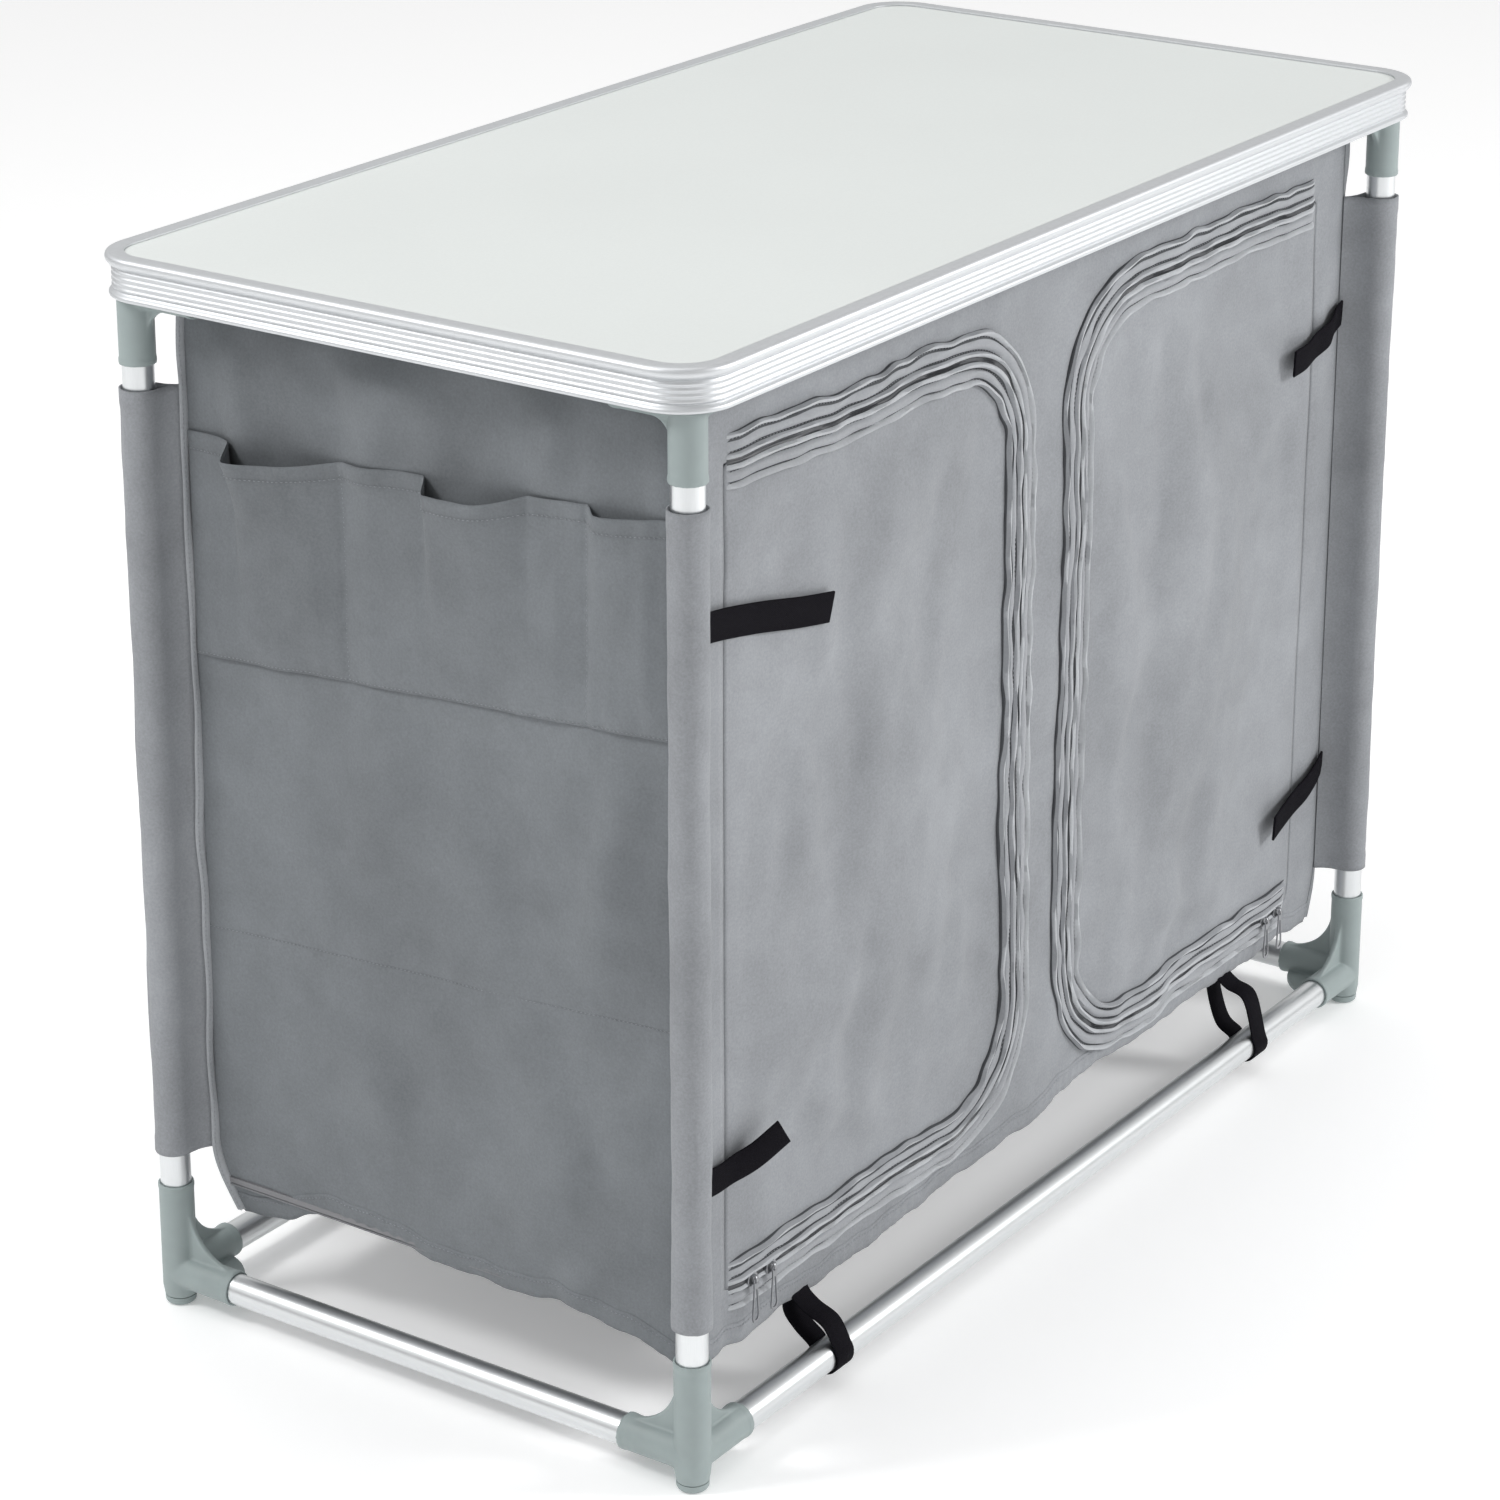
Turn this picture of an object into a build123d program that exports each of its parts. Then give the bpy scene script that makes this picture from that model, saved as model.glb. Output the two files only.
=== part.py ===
"""Camp kitchen table: push-fit tube frame, lift-off worktop and a zipped fabric cupboard.

Millimetres, +Z up. The origin is on the ground under the middle of the table.
The two doors face -Y, the pocketed end faces -X, and the long side lies along X.
"""
from build123d import *
import math
import os

# ---- Driving dimensions -------------------------------------------------------------------
HEIGHT = 780.0                      # ground to the top of the worktop's rim
TABLE_L, TABLE_W = 980.0, 500.0     # worktop over its rim
CORNER_R = 40.0                     # outer corner radius of the rim
TUBE_R, TUBE_WALL = 11.0, 1.2       # aluminium frame tube
LEG_X, LEG_Y = 465.0, 225.0         # leg axes
FABRIC_INSET = 21.0                 # cupboard face, inboard of the leg axes
FABRIC_T = 3.0                      # coated fabric with its foam lining
GAP = 0.2                           # clearance between separate pieces that lie together

# ---- Worktop ------------------------------------------------------------------------------
RIM_H = 30.0                        # height of the extruded rim
FLANGE_W, FLANGE_T = 13.0, 1.6      # lip that lies over the board's edge
WEB_INSET, WEB_T = 4.5, 1.5         # upright wall of the rim
LOWER_LIP_INSET, LOWER_LIP_T = 1.8, 2.2
LEDGE_W, LEDGE_T = 18.0, 1.6        # inner ledge that carries the board
RIB_COUNT, RIB_H, RIB_PROUD = 4, 1.4, 0.9
BOARD_TOP = HEIGHT - FLANGE_T - GAP
BOARD_T = 8.7
EDGE_REBATE = 0.3                   # drop of the board's edge under the flange
REST_SIZE, REST_SHIFT = 44.0, 14.0  # pads under the board that sit on the upper connectors

# ---- Frame --------------------------------------------------------------------------------
SOCKET_R = 12.5                     # outer radius of a connector's sockets
SOCKET_FIT = 0.05                   # radial clearance of a tube in its socket
SOCKET_REACH = 54.0                 # leg axis to the mouth of a rail socket
BORE_START = 18.0                   # leg axis to the blind end of a rail socket
COLLAR_R, COLLAR_L = 12.9, 4.0      # thickened mouth of each socket
LOW_RAIL_Z, LOW_MOUTH_Z = 25.0, 95.0
TOP_RAIL_Z, TOP_MOUTH_Z = 753.5, 702.0
LOW_WEB_R, TOP_WEB_R, WEB_PLATE_T = 40.0, 16.0, 4.0
CORNER_PLATE_R = 46.0               # flat quarter-round plate between the two rail sockets
CORNER_PLATE_DROP = 8.0             # plate centre, away from the leg's mouth
LEG_BORE_CLEAR = 20.0               # rail axis to the blind end of the leg socket
FOOT_H, FOOT_R, FOOT_ROUND = 6.0, 11.2, 3.5
TAPER_TOP = 14.0                    # foot end of the connector widens up to here

# ---- Fabric cupboard ----------------------------------------------------------------------
BOX_X, BOX_Y = LEG_X - FABRIC_INSET, LEG_Y - FABRIC_INSET
BOX_TOP = 738.0
HEM_CORNER, HEM_MIDDLE = 63.0, 79.0
FLOOR_Z, SHELF_Z = 90.0, 300.0
LINER_T, STIFF_T = 2.0, 4.0         # inner fabric, and the stiff boards laid on it
SLEEVE_R, SLEEVE_LOW, SLEEVE_TOP = 12.8, 120.0, 686.0
SLEEVE_BORE, FLAP_T = 11.3, 1.8

# ---- Doors and zips -----------------------------------------------------------------------
HINGE_X, DOOR_INNER_X = 398.0, 38.0
DOOR_LOW, DOOR_HIGH, DOOR_R = 108.0, 692.0, 80.0
DOOR_GAP = 0.5                      # half the gap between door and panel
ZIP_W, ZIP_T, ZIP_GAP = 12.0, 2.0, 0.4
ZIP_END_X = 386.0
SLIDER_X = (372.0, 350.0)           # parked sliders, outer and inner
SLIDER_L, SLIDER_H, SLIDER_T = 11.0, 9.0, 3.4
PIN_R, EYE_R, EYE_OUTER = 0.8, 1.0, 2.0
PULL_W, PULL_T, PULL_L = 5.0, 1.4, 33.0

# ---- Straps, loops and pockets ------------------------------------------------------------
STRAP_W, STRAP_T, STRAP_L, STRAP_TILT = 20.0, 1.8, 127.0, 6.0
STRAP_BEND = 6.0                    # part of a strap left out at the hinge, where it bends
STRAP_Z = (200.0, 580.0)
LOOP_X, LOOP_W, LOOP_T, LOOP_TOP = 300.0, 20.0, 1.5, 74.0
POCKET_OUT, POCKET_WALL = 12.0, 1.4
POCKET_LOW, POCKET_HIGH = 500.0, 655.0
POCKET_EDGES = (-199.0, -131.0, 66.0, 199.0)

LOW = (Align.CENTER, Align.CENTER, Align.MIN)
TURNS = {"+X": Rotation(0, 90, 0), "-X": Rotation(0, -90, 0), "+Y": Rotation(-90, 0, 0),
         "-Y": Rotation(90, 0, 0), "+Z": Rotation(0, 0, 0), "-Z": Rotation(180, 0, 0)}
CORNERS = {"front_left": (-1, -1), "front_right": (1, -1),
           "back_left": (-1, 1), "back_right": (1, 1)}
SIDES = {"left": -1, "right": 1}


def save(name, *solids):
    """Write one node: a single solid, or a group of separate ones."""
    export_step(solids[0] if len(solids) == 1 else Compound(children=list(solids)),
                f"parts/{name}.step")


def rod(start, direction, length, radius):
    """Round bar from start along a signed axis name such as '+X'."""
    return Pos(*start) * TURNS[direction] * Cylinder(radius, length, align=LOW)


def block(low, high):
    """Box between two opposite corners."""
    size = [b - a for a, b in zip(low, high)]
    centre = [(a + b) / 2 for a, b in zip(low, high)]
    return Pos(*centre) * Box(*size)


# ---- Worktop ------------------------------------------------------------------------------
def rounded_plate(inset, low, high):
    """Worktop outline, moved in by inset, between two heights."""
    outline = RectangleRounded(TABLE_L - 2 * inset, TABLE_W - 2 * inset, CORNER_R - inset)
    return Pos(0, 0, low) * extrude(outline, high - low)


def ring(outer, inner, low, high):
    return rounded_plate(outer, low, high) - rounded_plate(inner, low - 1, high + 1)


def table_board():
    """Laminate board; its edge is rebated where the rim's flange laps over it."""
    edge = WEB_INSET + WEB_T + GAP
    board = rounded_plate(edge, BOARD_TOP - BOARD_T, BOARD_TOP - EDGE_REBATE)
    return board + rounded_plate(FLANGE_W + GAP, BOARD_TOP - BOARD_T, BOARD_TOP)


def table_rim():
    """Bent aluminium extrusion: flange, ribbed wall, inner ledge and lower lip."""
    bottom = HEIGHT - RIM_H
    web_inner = WEB_INSET + WEB_T
    ledge_top = BOARD_TOP - BOARD_T - GAP / 2
    rim = ring(WEB_INSET, web_inner, bottom, HEIGHT)
    rim += ring(0, FLANGE_W, HEIGHT - FLANGE_T, HEIGHT)
    rim += ring(LOWER_LIP_INSET, web_inner, bottom, bottom + LOWER_LIP_T)
    rim += ring(WEB_INSET, LEDGE_W, ledge_top - LEDGE_T, ledge_top)
    pitch = (RIM_H - LOWER_LIP_T - FLANGE_T) / (RIB_COUNT + 1)
    for number in range(1, RIB_COUNT + 1):
        low = bottom + LOWER_LIP_T + number * pitch - RIB_H / 2
        rim += ring(WEB_INSET - RIB_PROUD, web_inner, low, low + RIB_H)
    return rim


def corner_rest(sx, sy):
    """Thin pad between the board's ledge and an upper connector."""
    top = BOARD_TOP - BOARD_T - GAP / 2 - LEDGE_T
    low = TOP_RAIL_Z + SOCKET_R + GAP
    pad = Pos(sx * (LEG_X - REST_SHIFT), sy * (LEG_Y - REST_SHIFT), low)
    return pad * extrude(RectangleRounded(REST_SIZE, REST_SIZE, 6), top - low)


# ---- Frame --------------------------------------------------------------------------------
def tube(start, direction, length):
    bar = rod(start, direction, length, TUBE_R)
    return bar - rod(start, direction, length, TUBE_R - TUBE_WALL)


def leg(sx, sy):
    low, high = LOW_RAIL_Z + LEG_BORE_CLEAR, TOP_RAIL_Z - LEG_BORE_CLEAR
    return tube((sx * LEG_X, sy * LEG_Y, low), "+Z", high - low)


def long_rail(sy, z):
    return tube((-LEG_X + BORE_START, sy * LEG_Y, z), "+X", 2 * (LEG_X - BORE_START))


def short_rail(sx, z):
    return tube((sx * LEG_X, -LEG_Y + BORE_START, z), "+Y", 2 * (LEG_Y - BORE_START))


def gusset(x, y, z, up, radius, along_x):
    """Thin plate with a concave edge, between the leg socket and one rail socket."""
    reach, half = SOCKET_R + radius, WEB_PLATE_T / 2
    low_z, high_z = min(z, z + up * reach), max(z, z + up * reach)
    if along_x:
        plate = block((x, y - half, low_z), (x + reach, y + half, high_z))
        return plate - rod((x + reach, y - half - 1, z + up * reach), "+Y", WEB_PLATE_T + 2, radius)
    plate = block((x - half, y, low_z), (x + half, y + reach, high_z))
    return plate - rod((x - half - 1, y + reach, z + up * reach), "+X", WEB_PLATE_T + 2, radius)


def connector(rail_z, mouth_z, blind_z, web_r):
    """Three-way moulded corner for the front left leg: a leg socket and two rail sockets."""
    x, y = -LEG_X, -LEG_Y
    up = 1 if mouth_z > rail_z else -1
    leg_way = "+Z" if up > 0 else "-Z"
    arms = [(leg_way, abs(mouth_z - rail_z), LEG_BORE_CLEAR),
            ("+X", SOCKET_REACH, BORE_START), ("+Y", SOCKET_REACH, BORE_START)]
    body = rod((x, y, blind_z), leg_way, abs(rail_z - blind_z), SOCKET_R)
    for way, reach, _ in arms:
        arm = Pos(x, y, rail_z) * TURNS[way]
        body += arm * Cylinder(SOCKET_R, reach, align=LOW)
        body += arm * Pos(0, 0, reach - COLLAR_L) * Cylinder(COLLAR_R, COLLAR_L, align=LOW)
    body += gusset(x, y, rail_z, up, web_r, True)
    body += gusset(x, y, rail_z, up, web_r, False)
    plate_z = rail_z - up * CORNER_PLATE_DROP
    quarter = Pos(x, y, plate_z) * Cylinder(CORNER_PLATE_R, WEB_PLATE_T)
    body += quarter & block((x, y, plate_z - WEB_PLATE_T),
                            (x + CORNER_PLATE_R, y + CORNER_PLATE_R, plate_z + WEB_PLATE_T))
    for way, reach, blind in arms:
        bore = Pos(x, y, rail_z) * TURNS[way] * Pos(0, 0, blind)
        body -= bore * Cylinder(TUBE_R + SOCKET_FIT, reach - blind + 1, align=LOW)
    return body


def lower_connector():
    body = connector(LOW_RAIL_Z, LOW_MOUTH_Z, TAPER_TOP, LOW_WEB_R)
    taper = Cone(FOOT_R, SOCKET_R, TAPER_TOP - FOOT_H, align=LOW)
    return body + Pos(-LEG_X, -LEG_Y, FOOT_H) * taper


def upper_connector():
    return connector(TOP_RAIL_Z, TOP_MOUTH_Z, TOP_RAIL_Z + SOCKET_R, TOP_WEB_R)


def at_corner(solid, sx, sy):
    """Mirror a front left piece to the corner with these signs."""
    if sx > 0:
        solid = mirror(solid, about=Plane.YZ)
    return mirror(solid, about=Plane.XZ) if sy > 0 else solid


def foot_cap(sx, sy):
    cap = Cylinder(FOOT_R, FOOT_H, align=LOW)
    cap = fillet(cap.edges().group_by(Axis.Z)[0], FOOT_ROUND)
    return Pos(sx * LEG_X, sy * LEG_Y, 0) * cap


# ---- Fabric cupboard ----------------------------------------------------------------------
def leg_sleeve(sx, sy):
    """Fabric tube round a leg, with the flap that joins it to the cupboard's corner."""
    height = SLEEVE_TOP - SLEEVE_LOW
    reach = FABRIC_INSET * math.sqrt(2) - 1.0
    turn = Rotation(0, 0, math.degrees(math.atan2(-sy, -sx)))
    flap = turn * Pos(reach / 2, 0, 0) * Box(reach, FLAP_T, height, align=LOW)
    sleeve = Cylinder(SLEEVE_R, height, align=LOW) + flap
    sleeve -= Cylinder(SLEEVE_BORE, height + 1, align=LOW)
    return Pos(sx * LEG_X, sy * LEG_Y, SLEEVE_LOW) * sleeve


def panel_outline(half_width):
    """Upright panel whose lower hem rises in the middle."""
    sides = Polyline((-half_width, HEM_CORNER), (-half_width, BOX_TOP),
                     (half_width, BOX_TOP), (half_width, HEM_CORNER))
    hem = ThreePointArc((half_width, HEM_CORNER), (0, HEM_MIDDLE), (-half_width, HEM_CORNER))
    return make_face([*sides.edges(), *hem.edges()])


def door_outline(side, grow):
    """D-shaped door: straight on its hinge side, rounded at its two inner corners."""
    outer, inner = HINGE_X + grow, DOOR_INNER_X - grow
    low, high = DOOR_LOW - grow, DOOR_HIGH + grow
    plate = Pos(side * (outer + inner) / 2, (low + high) / 2) * Rectangle(outer - inner, high - low)
    rounded = plate.vertices().group_by(Axis.X)[0 if side > 0 else -1]
    return fillet(rounded, DOOR_R + grow)


def on_front(sketch, back_y, thickness):
    """Extrude an (X, Z) sketch towards -Y, starting at back_y."""
    return extrude(Plane.XZ.offset(-back_y) * sketch, thickness)


def front_panel():
    outline = panel_outline(BOX_X)
    for side in SIDES.values():
        outline -= door_outline(side, DOOR_GAP)
    return on_front(outline, -BOX_Y + FABRIC_T, FABRIC_T)


def back_panel():
    return on_front(panel_outline(BOX_X), BOX_Y, FABRIC_T)


def end_panel(side):
    x = side * BOX_X - (FABRIC_T if side > 0 else 0)
    return Pos(x, 0, 0) * extrude(Plane.YZ * panel_outline(BOX_Y - FABRIC_T), FABRIC_T)


def level(z, thickness):
    """Left and right halves of a horizontal layer, one each side of the divider."""
    near, far = LINER_T / 2 + GAP, BOX_X - FABRIC_T - GAP
    depth = BOX_Y - FABRIC_T - GAP
    return [block((min(s * near, s * far), -depth, z), (max(s * near, s * far), depth, z + thickness))
            for s in SIDES.values()]


def full_layer(z):
    half_x, half_y = BOX_X - FABRIC_T - GAP, BOX_Y - FABRIC_T - GAP
    return block((-half_x, -half_y, z), (half_x, half_y, z + LINER_T))


def divider():
    depth = BOX_Y - FABRIC_T - GAP
    return block((-LINER_T / 2, -depth, FLOOR_Z + LINER_T + GAP),
                 (LINER_T / 2, depth, BOX_TOP - LINER_T - GAP))


def pocket_strip():
    """Three flat pockets on the left end, open at the top and against the panel."""
    outer, back = -BOX_X - POCKET_OUT, -BOX_X
    strip = block((outer, POCKET_EDGES[0], POCKET_LOW), (back, POCKET_EDGES[-1], POCKET_HIGH))
    for low, high in zip(POCKET_EDGES, POCKET_EDGES[1:]):
        strip -= block((outer + POCKET_WALL, low + POCKET_WALL, POCKET_LOW + POCKET_WALL),
                       (back + 1, high - POCKET_WALL, POCKET_HIGH + 1))
    return strip


# ---- Doors, zips and straps ---------------------------------------------------------------
def door(side):
    return on_front(door_outline(side, -DOOR_GAP), -BOX_Y + FABRIC_T, FABRIC_T)


def zip_half(side, inner, outer):
    """Zip tape with its teeth, between two offsets of the door's outline."""
    band = on_front(door_outline(side, outer) - door_outline(side, inner), -BOX_Y, ZIP_T)
    keep = block((min(0, side * ZIP_END_X), -BOX_Y - 10, 0),
                 (max(0, side * ZIP_END_X), -BOX_Y + 10, HEIGHT))
    return band & keep


def slider_place(side, x):
    """Middle of a parked slider's hinge pin."""
    front = -BOX_Y - ZIP_T - GAP - SLIDER_T
    return side * x, front - EYE_OUTER - GAP, DOOR_LOW


def zip_slider(side, x):
    px, py, pz = slider_place(side, x)
    back = -BOX_Y - ZIP_T - GAP
    body = block((px - SLIDER_L / 2, back - SLIDER_T, pz - SLIDER_H / 2),
                 (px + SLIDER_L / 2, back, pz + SLIDER_H / 2))
    body = fillet(body.edges().filter_by(Axis.Y), 2.0)
    for way in (-1, 1):
        lug = px + way * (PULL_W / 2 + 0.9)
        body += block((lug - 0.6, py - 1.3, pz - 1.8), (lug + 0.6, back - 1, pz + 1.8))
    return body + rod((px - PULL_W / 2 - 0.9, py, pz), "+X", PULL_W + 1.8, PIN_R)


def zip_pull(side, x):
    px, py, pz = slider_place(side, x)
    start = (px - PULL_W / 2, py, pz)
    pull = rod(start, "+X", PULL_W, EYE_OUTER)
    pull += block((px - PULL_W / 2, py - PULL_T / 2, pz - PULL_L),
                  (px + PULL_W / 2, py + PULL_T / 2, pz))
    pull -= rod((px - PULL_W / 2 - 1, py, pz), "+X", PULL_W + 2, EYE_R)
    return fillet(pull.edges().filter_by(Axis.Y).group_by(Axis.Z)[0], 1.5)


def strap_anchor(side, z):
    """Sewn-in end of a strap, from the corner seam to the door's hinge line."""
    return block((min(side * HINGE_X + side, side * BOX_X), -BOX_Y - STRAP_T - GAP, z - STRAP_W / 2),
                 (max(side * HINGE_X + side, side * BOX_X), -BOX_Y - GAP, z + STRAP_W / 2))


def door_strap(side, z):
    """Free length of a strap, lying on the door and sloping down from the hinge line."""
    strip = Pos(-side * STRAP_L / 2, 0, 0) * Box(STRAP_L, STRAP_T, STRAP_W)
    front = -BOX_Y - ZIP_T - GAP - STRAP_T / 2
    start = side * (HINGE_X - STRAP_BEND)
    return Pos(start, front, z) * Rotation(0, -side * STRAP_TILT, 0) * strip


def tube_loop(side, sy):
    """Webbing loop that ties the hem to the lower long rail."""
    def band(rail_r, top_r):
        top_y = sy * (BOX_Y + GAP + 3)
        ends = [Pos(sy * LEG_Y, LOW_RAIL_Z) * Circle(rail_r), Pos(top_y, LOOP_TOP) * Circle(top_r)]
        return make_hull([edge for end in ends for edge in end.edges()])
    inner_r = TUBE_R + GAP
    profile = band(inner_r + LOOP_T, 3) - band(inner_r, 3 - LOOP_T)
    return Pos(side * LOOP_X - LOOP_W / 2, 0, 0) * extrude(Plane.YZ * profile, LOOP_W)


def main():
    os.makedirs("parts", exist_ok=True)
    save("table_rim", table_rim())
    save("table_board", table_board())
    save("corner_rests", *[corner_rest(sx, sy) for sx, sy in CORNERS.values()])
    lower, upper = lower_connector(), upper_connector()
    for name, (sx, sy) in CORNERS.items():
        save(f"leg_{name}", leg(sx, sy))
        save(f"lower_connector_{name}", at_corner(lower, sx, sy))
        save(f"upper_connector_{name}", at_corner(upper, sx, sy))
        save(f"leg_sleeve_{name}", leg_sleeve(sx, sy))
    save("foot_caps", *[foot_cap(sx, sy) for sx, sy in CORNERS.values()])
    for height, z in (("lower", LOW_RAIL_Z), ("upper", TOP_RAIL_Z)):
        for name, sy in (("front", -1), ("back", 1)):
            save(f"{height}_rail_{name}", long_rail(sy, z))
        for name, sx in SIDES.items():
            save(f"{height}_rail_{name}", short_rail(sx, z))
    save("front_panel", front_panel())
    save("back_panel", back_panel())
    save("floor_panel", full_layer(FLOOR_Z))
    save("top_panel", full_layer(BOX_TOP - LINER_T))
    save("shelf_panels", *level(SHELF_Z, LINER_T))
    save("floor_boards", *level(FLOOR_Z + LINER_T + GAP, STIFF_T))
    save("shelf_boards", *level(SHELF_Z + LINER_T + GAP, STIFF_T))
    save("divider", divider())
    save("pocket_strip", pocket_strip())
    save("strap_anchors", *[strap_anchor(s, z) for s in SIDES.values() for z in STRAP_Z])
    save("tube_loops", *[tube_loop(s, sy) for s in SIDES.values() for sy in (-1, 1)])
    for name, side in SIDES.items():
        save(f"end_panel_{name}", end_panel(side))
        save(f"door_{name}", door(side))
        save(f"zip_door_half_{name}", zip_half(side, -ZIP_W, -ZIP_GAP))
        save(f"zip_panel_half_{name}", zip_half(side, ZIP_GAP, ZIP_W))
        save(f"door_straps_{name}", *[door_strap(side, z) for z in STRAP_Z])
        for place, x in zip(("outer", "inner"), SLIDER_X):
            save(f"zip_slider_{name}_{place}", zip_slider(side, x))
            save(f"zip_pull_{name}_{place}", zip_pull(side, x))


main()
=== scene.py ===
"""Looks of the camp kitchen table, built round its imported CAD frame. Metres, +Z up."""

import math
from functools import partial

import bmesh
import bpy
import numpy as np
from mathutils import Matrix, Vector


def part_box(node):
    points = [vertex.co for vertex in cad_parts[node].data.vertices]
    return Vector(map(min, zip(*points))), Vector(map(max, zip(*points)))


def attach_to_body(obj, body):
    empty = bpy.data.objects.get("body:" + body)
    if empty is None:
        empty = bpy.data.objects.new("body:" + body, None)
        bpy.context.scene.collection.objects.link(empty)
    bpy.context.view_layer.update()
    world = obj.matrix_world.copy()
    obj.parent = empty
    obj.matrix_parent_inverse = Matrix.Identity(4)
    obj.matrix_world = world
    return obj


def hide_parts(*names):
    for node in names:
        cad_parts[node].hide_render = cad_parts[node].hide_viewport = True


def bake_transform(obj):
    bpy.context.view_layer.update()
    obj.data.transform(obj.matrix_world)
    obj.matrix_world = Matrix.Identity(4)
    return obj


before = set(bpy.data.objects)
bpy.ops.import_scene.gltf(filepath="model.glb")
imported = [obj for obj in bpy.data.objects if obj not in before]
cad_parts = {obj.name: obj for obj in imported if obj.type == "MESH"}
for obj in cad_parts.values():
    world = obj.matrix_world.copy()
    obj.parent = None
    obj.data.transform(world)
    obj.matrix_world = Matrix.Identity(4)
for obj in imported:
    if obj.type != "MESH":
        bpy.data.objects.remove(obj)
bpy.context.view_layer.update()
MM = 0.001
CLOTH, INSET = 1.4 * MM, -0.8 * MM     # fabric thickness, and where its middle lies in its plane
WEB_THICK = 1.7 * MM

# ---- Places read from the frame -------------------------------------------------------------
panel_low, panel_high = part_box("front_panel")
FRONT_Y, BOX_X, BOX_TOP = panel_low.y, panel_high.x, panel_high.z
BOX_Y = -FRONT_Y
HEM_Z = panel_low.z
door_low, door_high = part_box("door_right")
HINGE_X, DOOR_INNER = door_high.x, door_low.x
DOOR_LOW, DOOR_HIGH, DOOR_R = door_low.z, door_high.z, 0.080
leg_low, leg_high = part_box("leg_front_left")
LEG_X, LEG_Y = -(leg_low.x + leg_high.x) / 2, -(leg_low.y + leg_high.y) / 2
sleeve_low, sleeve_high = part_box("leg_sleeve_front_left")
rim_low, rim_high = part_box("table_rim")
rail_low, rail_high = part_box("lower_rail_front")
RAIL_Z, RAIL_R = (rail_low.z + rail_high.z) / 2, (rail_high.z - rail_low.z) / 2
LOOP_X = 0.300
LOOP_WIDTH = 2 * (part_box("tube_loops")[1].x - LOOP_X)
POCKET_SEAMS = (-0.201, -0.131, 0.066, 0.201)
SHELF_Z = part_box("shelf_panels")[0].z
CORNERS = {"front_left": (-1, -1), "front_right": (1, -1),
           "back_left": (-1, 1), "back_right": (1, 1)}
SIDES = {"left": -1, "right": 1}


# ---- Mesh helpers ---------------------------------------------------------------------------
def in_scene(name, data):
    piece = bpy.data.objects.new(name, data)
    bpy.context.scene.collection.objects.link(piece)
    return piece


def new_object(name, points, faces, material, angle=40):
    """Mesh object with smooth shading, split where faces meet at more than angle degrees."""
    mesh = bpy.data.meshes.new(name)
    mesh.from_pydata([tuple(map(float, p)) for p in points], [], [tuple(map(int, f)) for f in faces])
    mesh.update()
    piece = in_scene(name, mesh)
    shade(piece, angle)
    piece.data.materials.append(material)
    return piece


def shade(piece, angle):
    bm = bmesh.new()
    bm.from_mesh(piece.data)
    bmesh.ops.recalc_face_normals(bm, faces=bm.faces)
    for face in bm.faces:
        face.smooth = True
    for edge in bm.edges:
        edge.smooth = len(edge.link_faces) != 2 or edge.calc_face_angle(0) < math.radians(angle)
    bm.to_mesh(piece.data)
    bm.free()


def attach(piece, body, slot, *nodes):
    """Ride on a body and stand for the CAD nodes named; the slot argument is not used."""
    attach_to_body(piece, body)
    if nodes:
        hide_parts(*nodes)


def solidify(piece, thickness, offset=0.0):
    thick = piece.modifiers.new("thickness", "SOLIDIFY")
    thick.thickness = thickness
    thick.offset = offset
    thick.use_even_offset = False
    return piece


def grid_faces(rows, columns, wrap_rows=False, wrap_columns=False):
    """Quads of a rows x columns grid of points, joined round where a direction wraps."""
    faces = []
    for i in range(rows if wrap_rows else rows - 1):
        for j in range(columns if wrap_columns else columns - 1):
            i2, j2 = (i + 1) % rows, (j + 1) % columns
            faces.append((i * columns + j, i * columns + j2, i2 * columns + j2, i2 * columns + j))
    return faces


def skin(name, points, material, angle, wrap=False):
    """Surface through rows of points; wrap closes each row on itself."""
    faces = grid_faces(*points.shape[:2], False, wrap)
    return new_object(name, points.reshape(-1, 3), faces, material, angle)


def ripples(seed, short, long, count=26, stretch=1.0):
    """Smooth repeatable noise, about -1 to 1, as a sum of plane waves; stretch draws it out along v."""
    rng = np.random.default_rng(seed)
    waves = []
    for _ in range(count):
        length = short * (long / short) ** rng.random()
        angle, phase = rng.random(2) * 2 * math.pi
        k = 2 * math.pi / length
        waves.append((k * math.cos(angle), k * math.sin(angle) / stretch, phase, (length / long) ** 0.8))
    total = math.sqrt(sum(w[3] ** 2 for w in waves) / 2) * 2

    def value(u, v=0.0):
        return sum(a * np.sin(ku * u + kv * v + p) for ku, kv, p, a in waves) / total
    return value


def unit(x):
    return np.clip(x, 0, 1)


def smooth(x):
    """Smooth step from 0 at x = 0 to 1 at x = 1."""
    x = unit(x)
    return x * x * (3 - 2 * x)


def bell(x, width):
    return np.exp(-(x / width) ** 2)


def crease(u, v, start, end, width, depth):
    """Soft fold along a line, fading out towards both its ends."""
    (u0, v0), (u1, v1) = start, end
    length = math.hypot(u1 - u0, v1 - v0)
    du, dv = (u1 - u0) / length, (v1 - v0) / length
    along = ((u - u0) * du + (v - v0) * dv) / length
    across = (u - u0) * -dv + (v - v0) * du
    return depth * unit(1 - (2 * along - 1) ** 2) ** 0.7 * bell(across, width)


def add_folds(base, u, v, folds, gain=1.0):
    return sum((gain * crease(u, v, *fold) for fold in folds), base)


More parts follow.
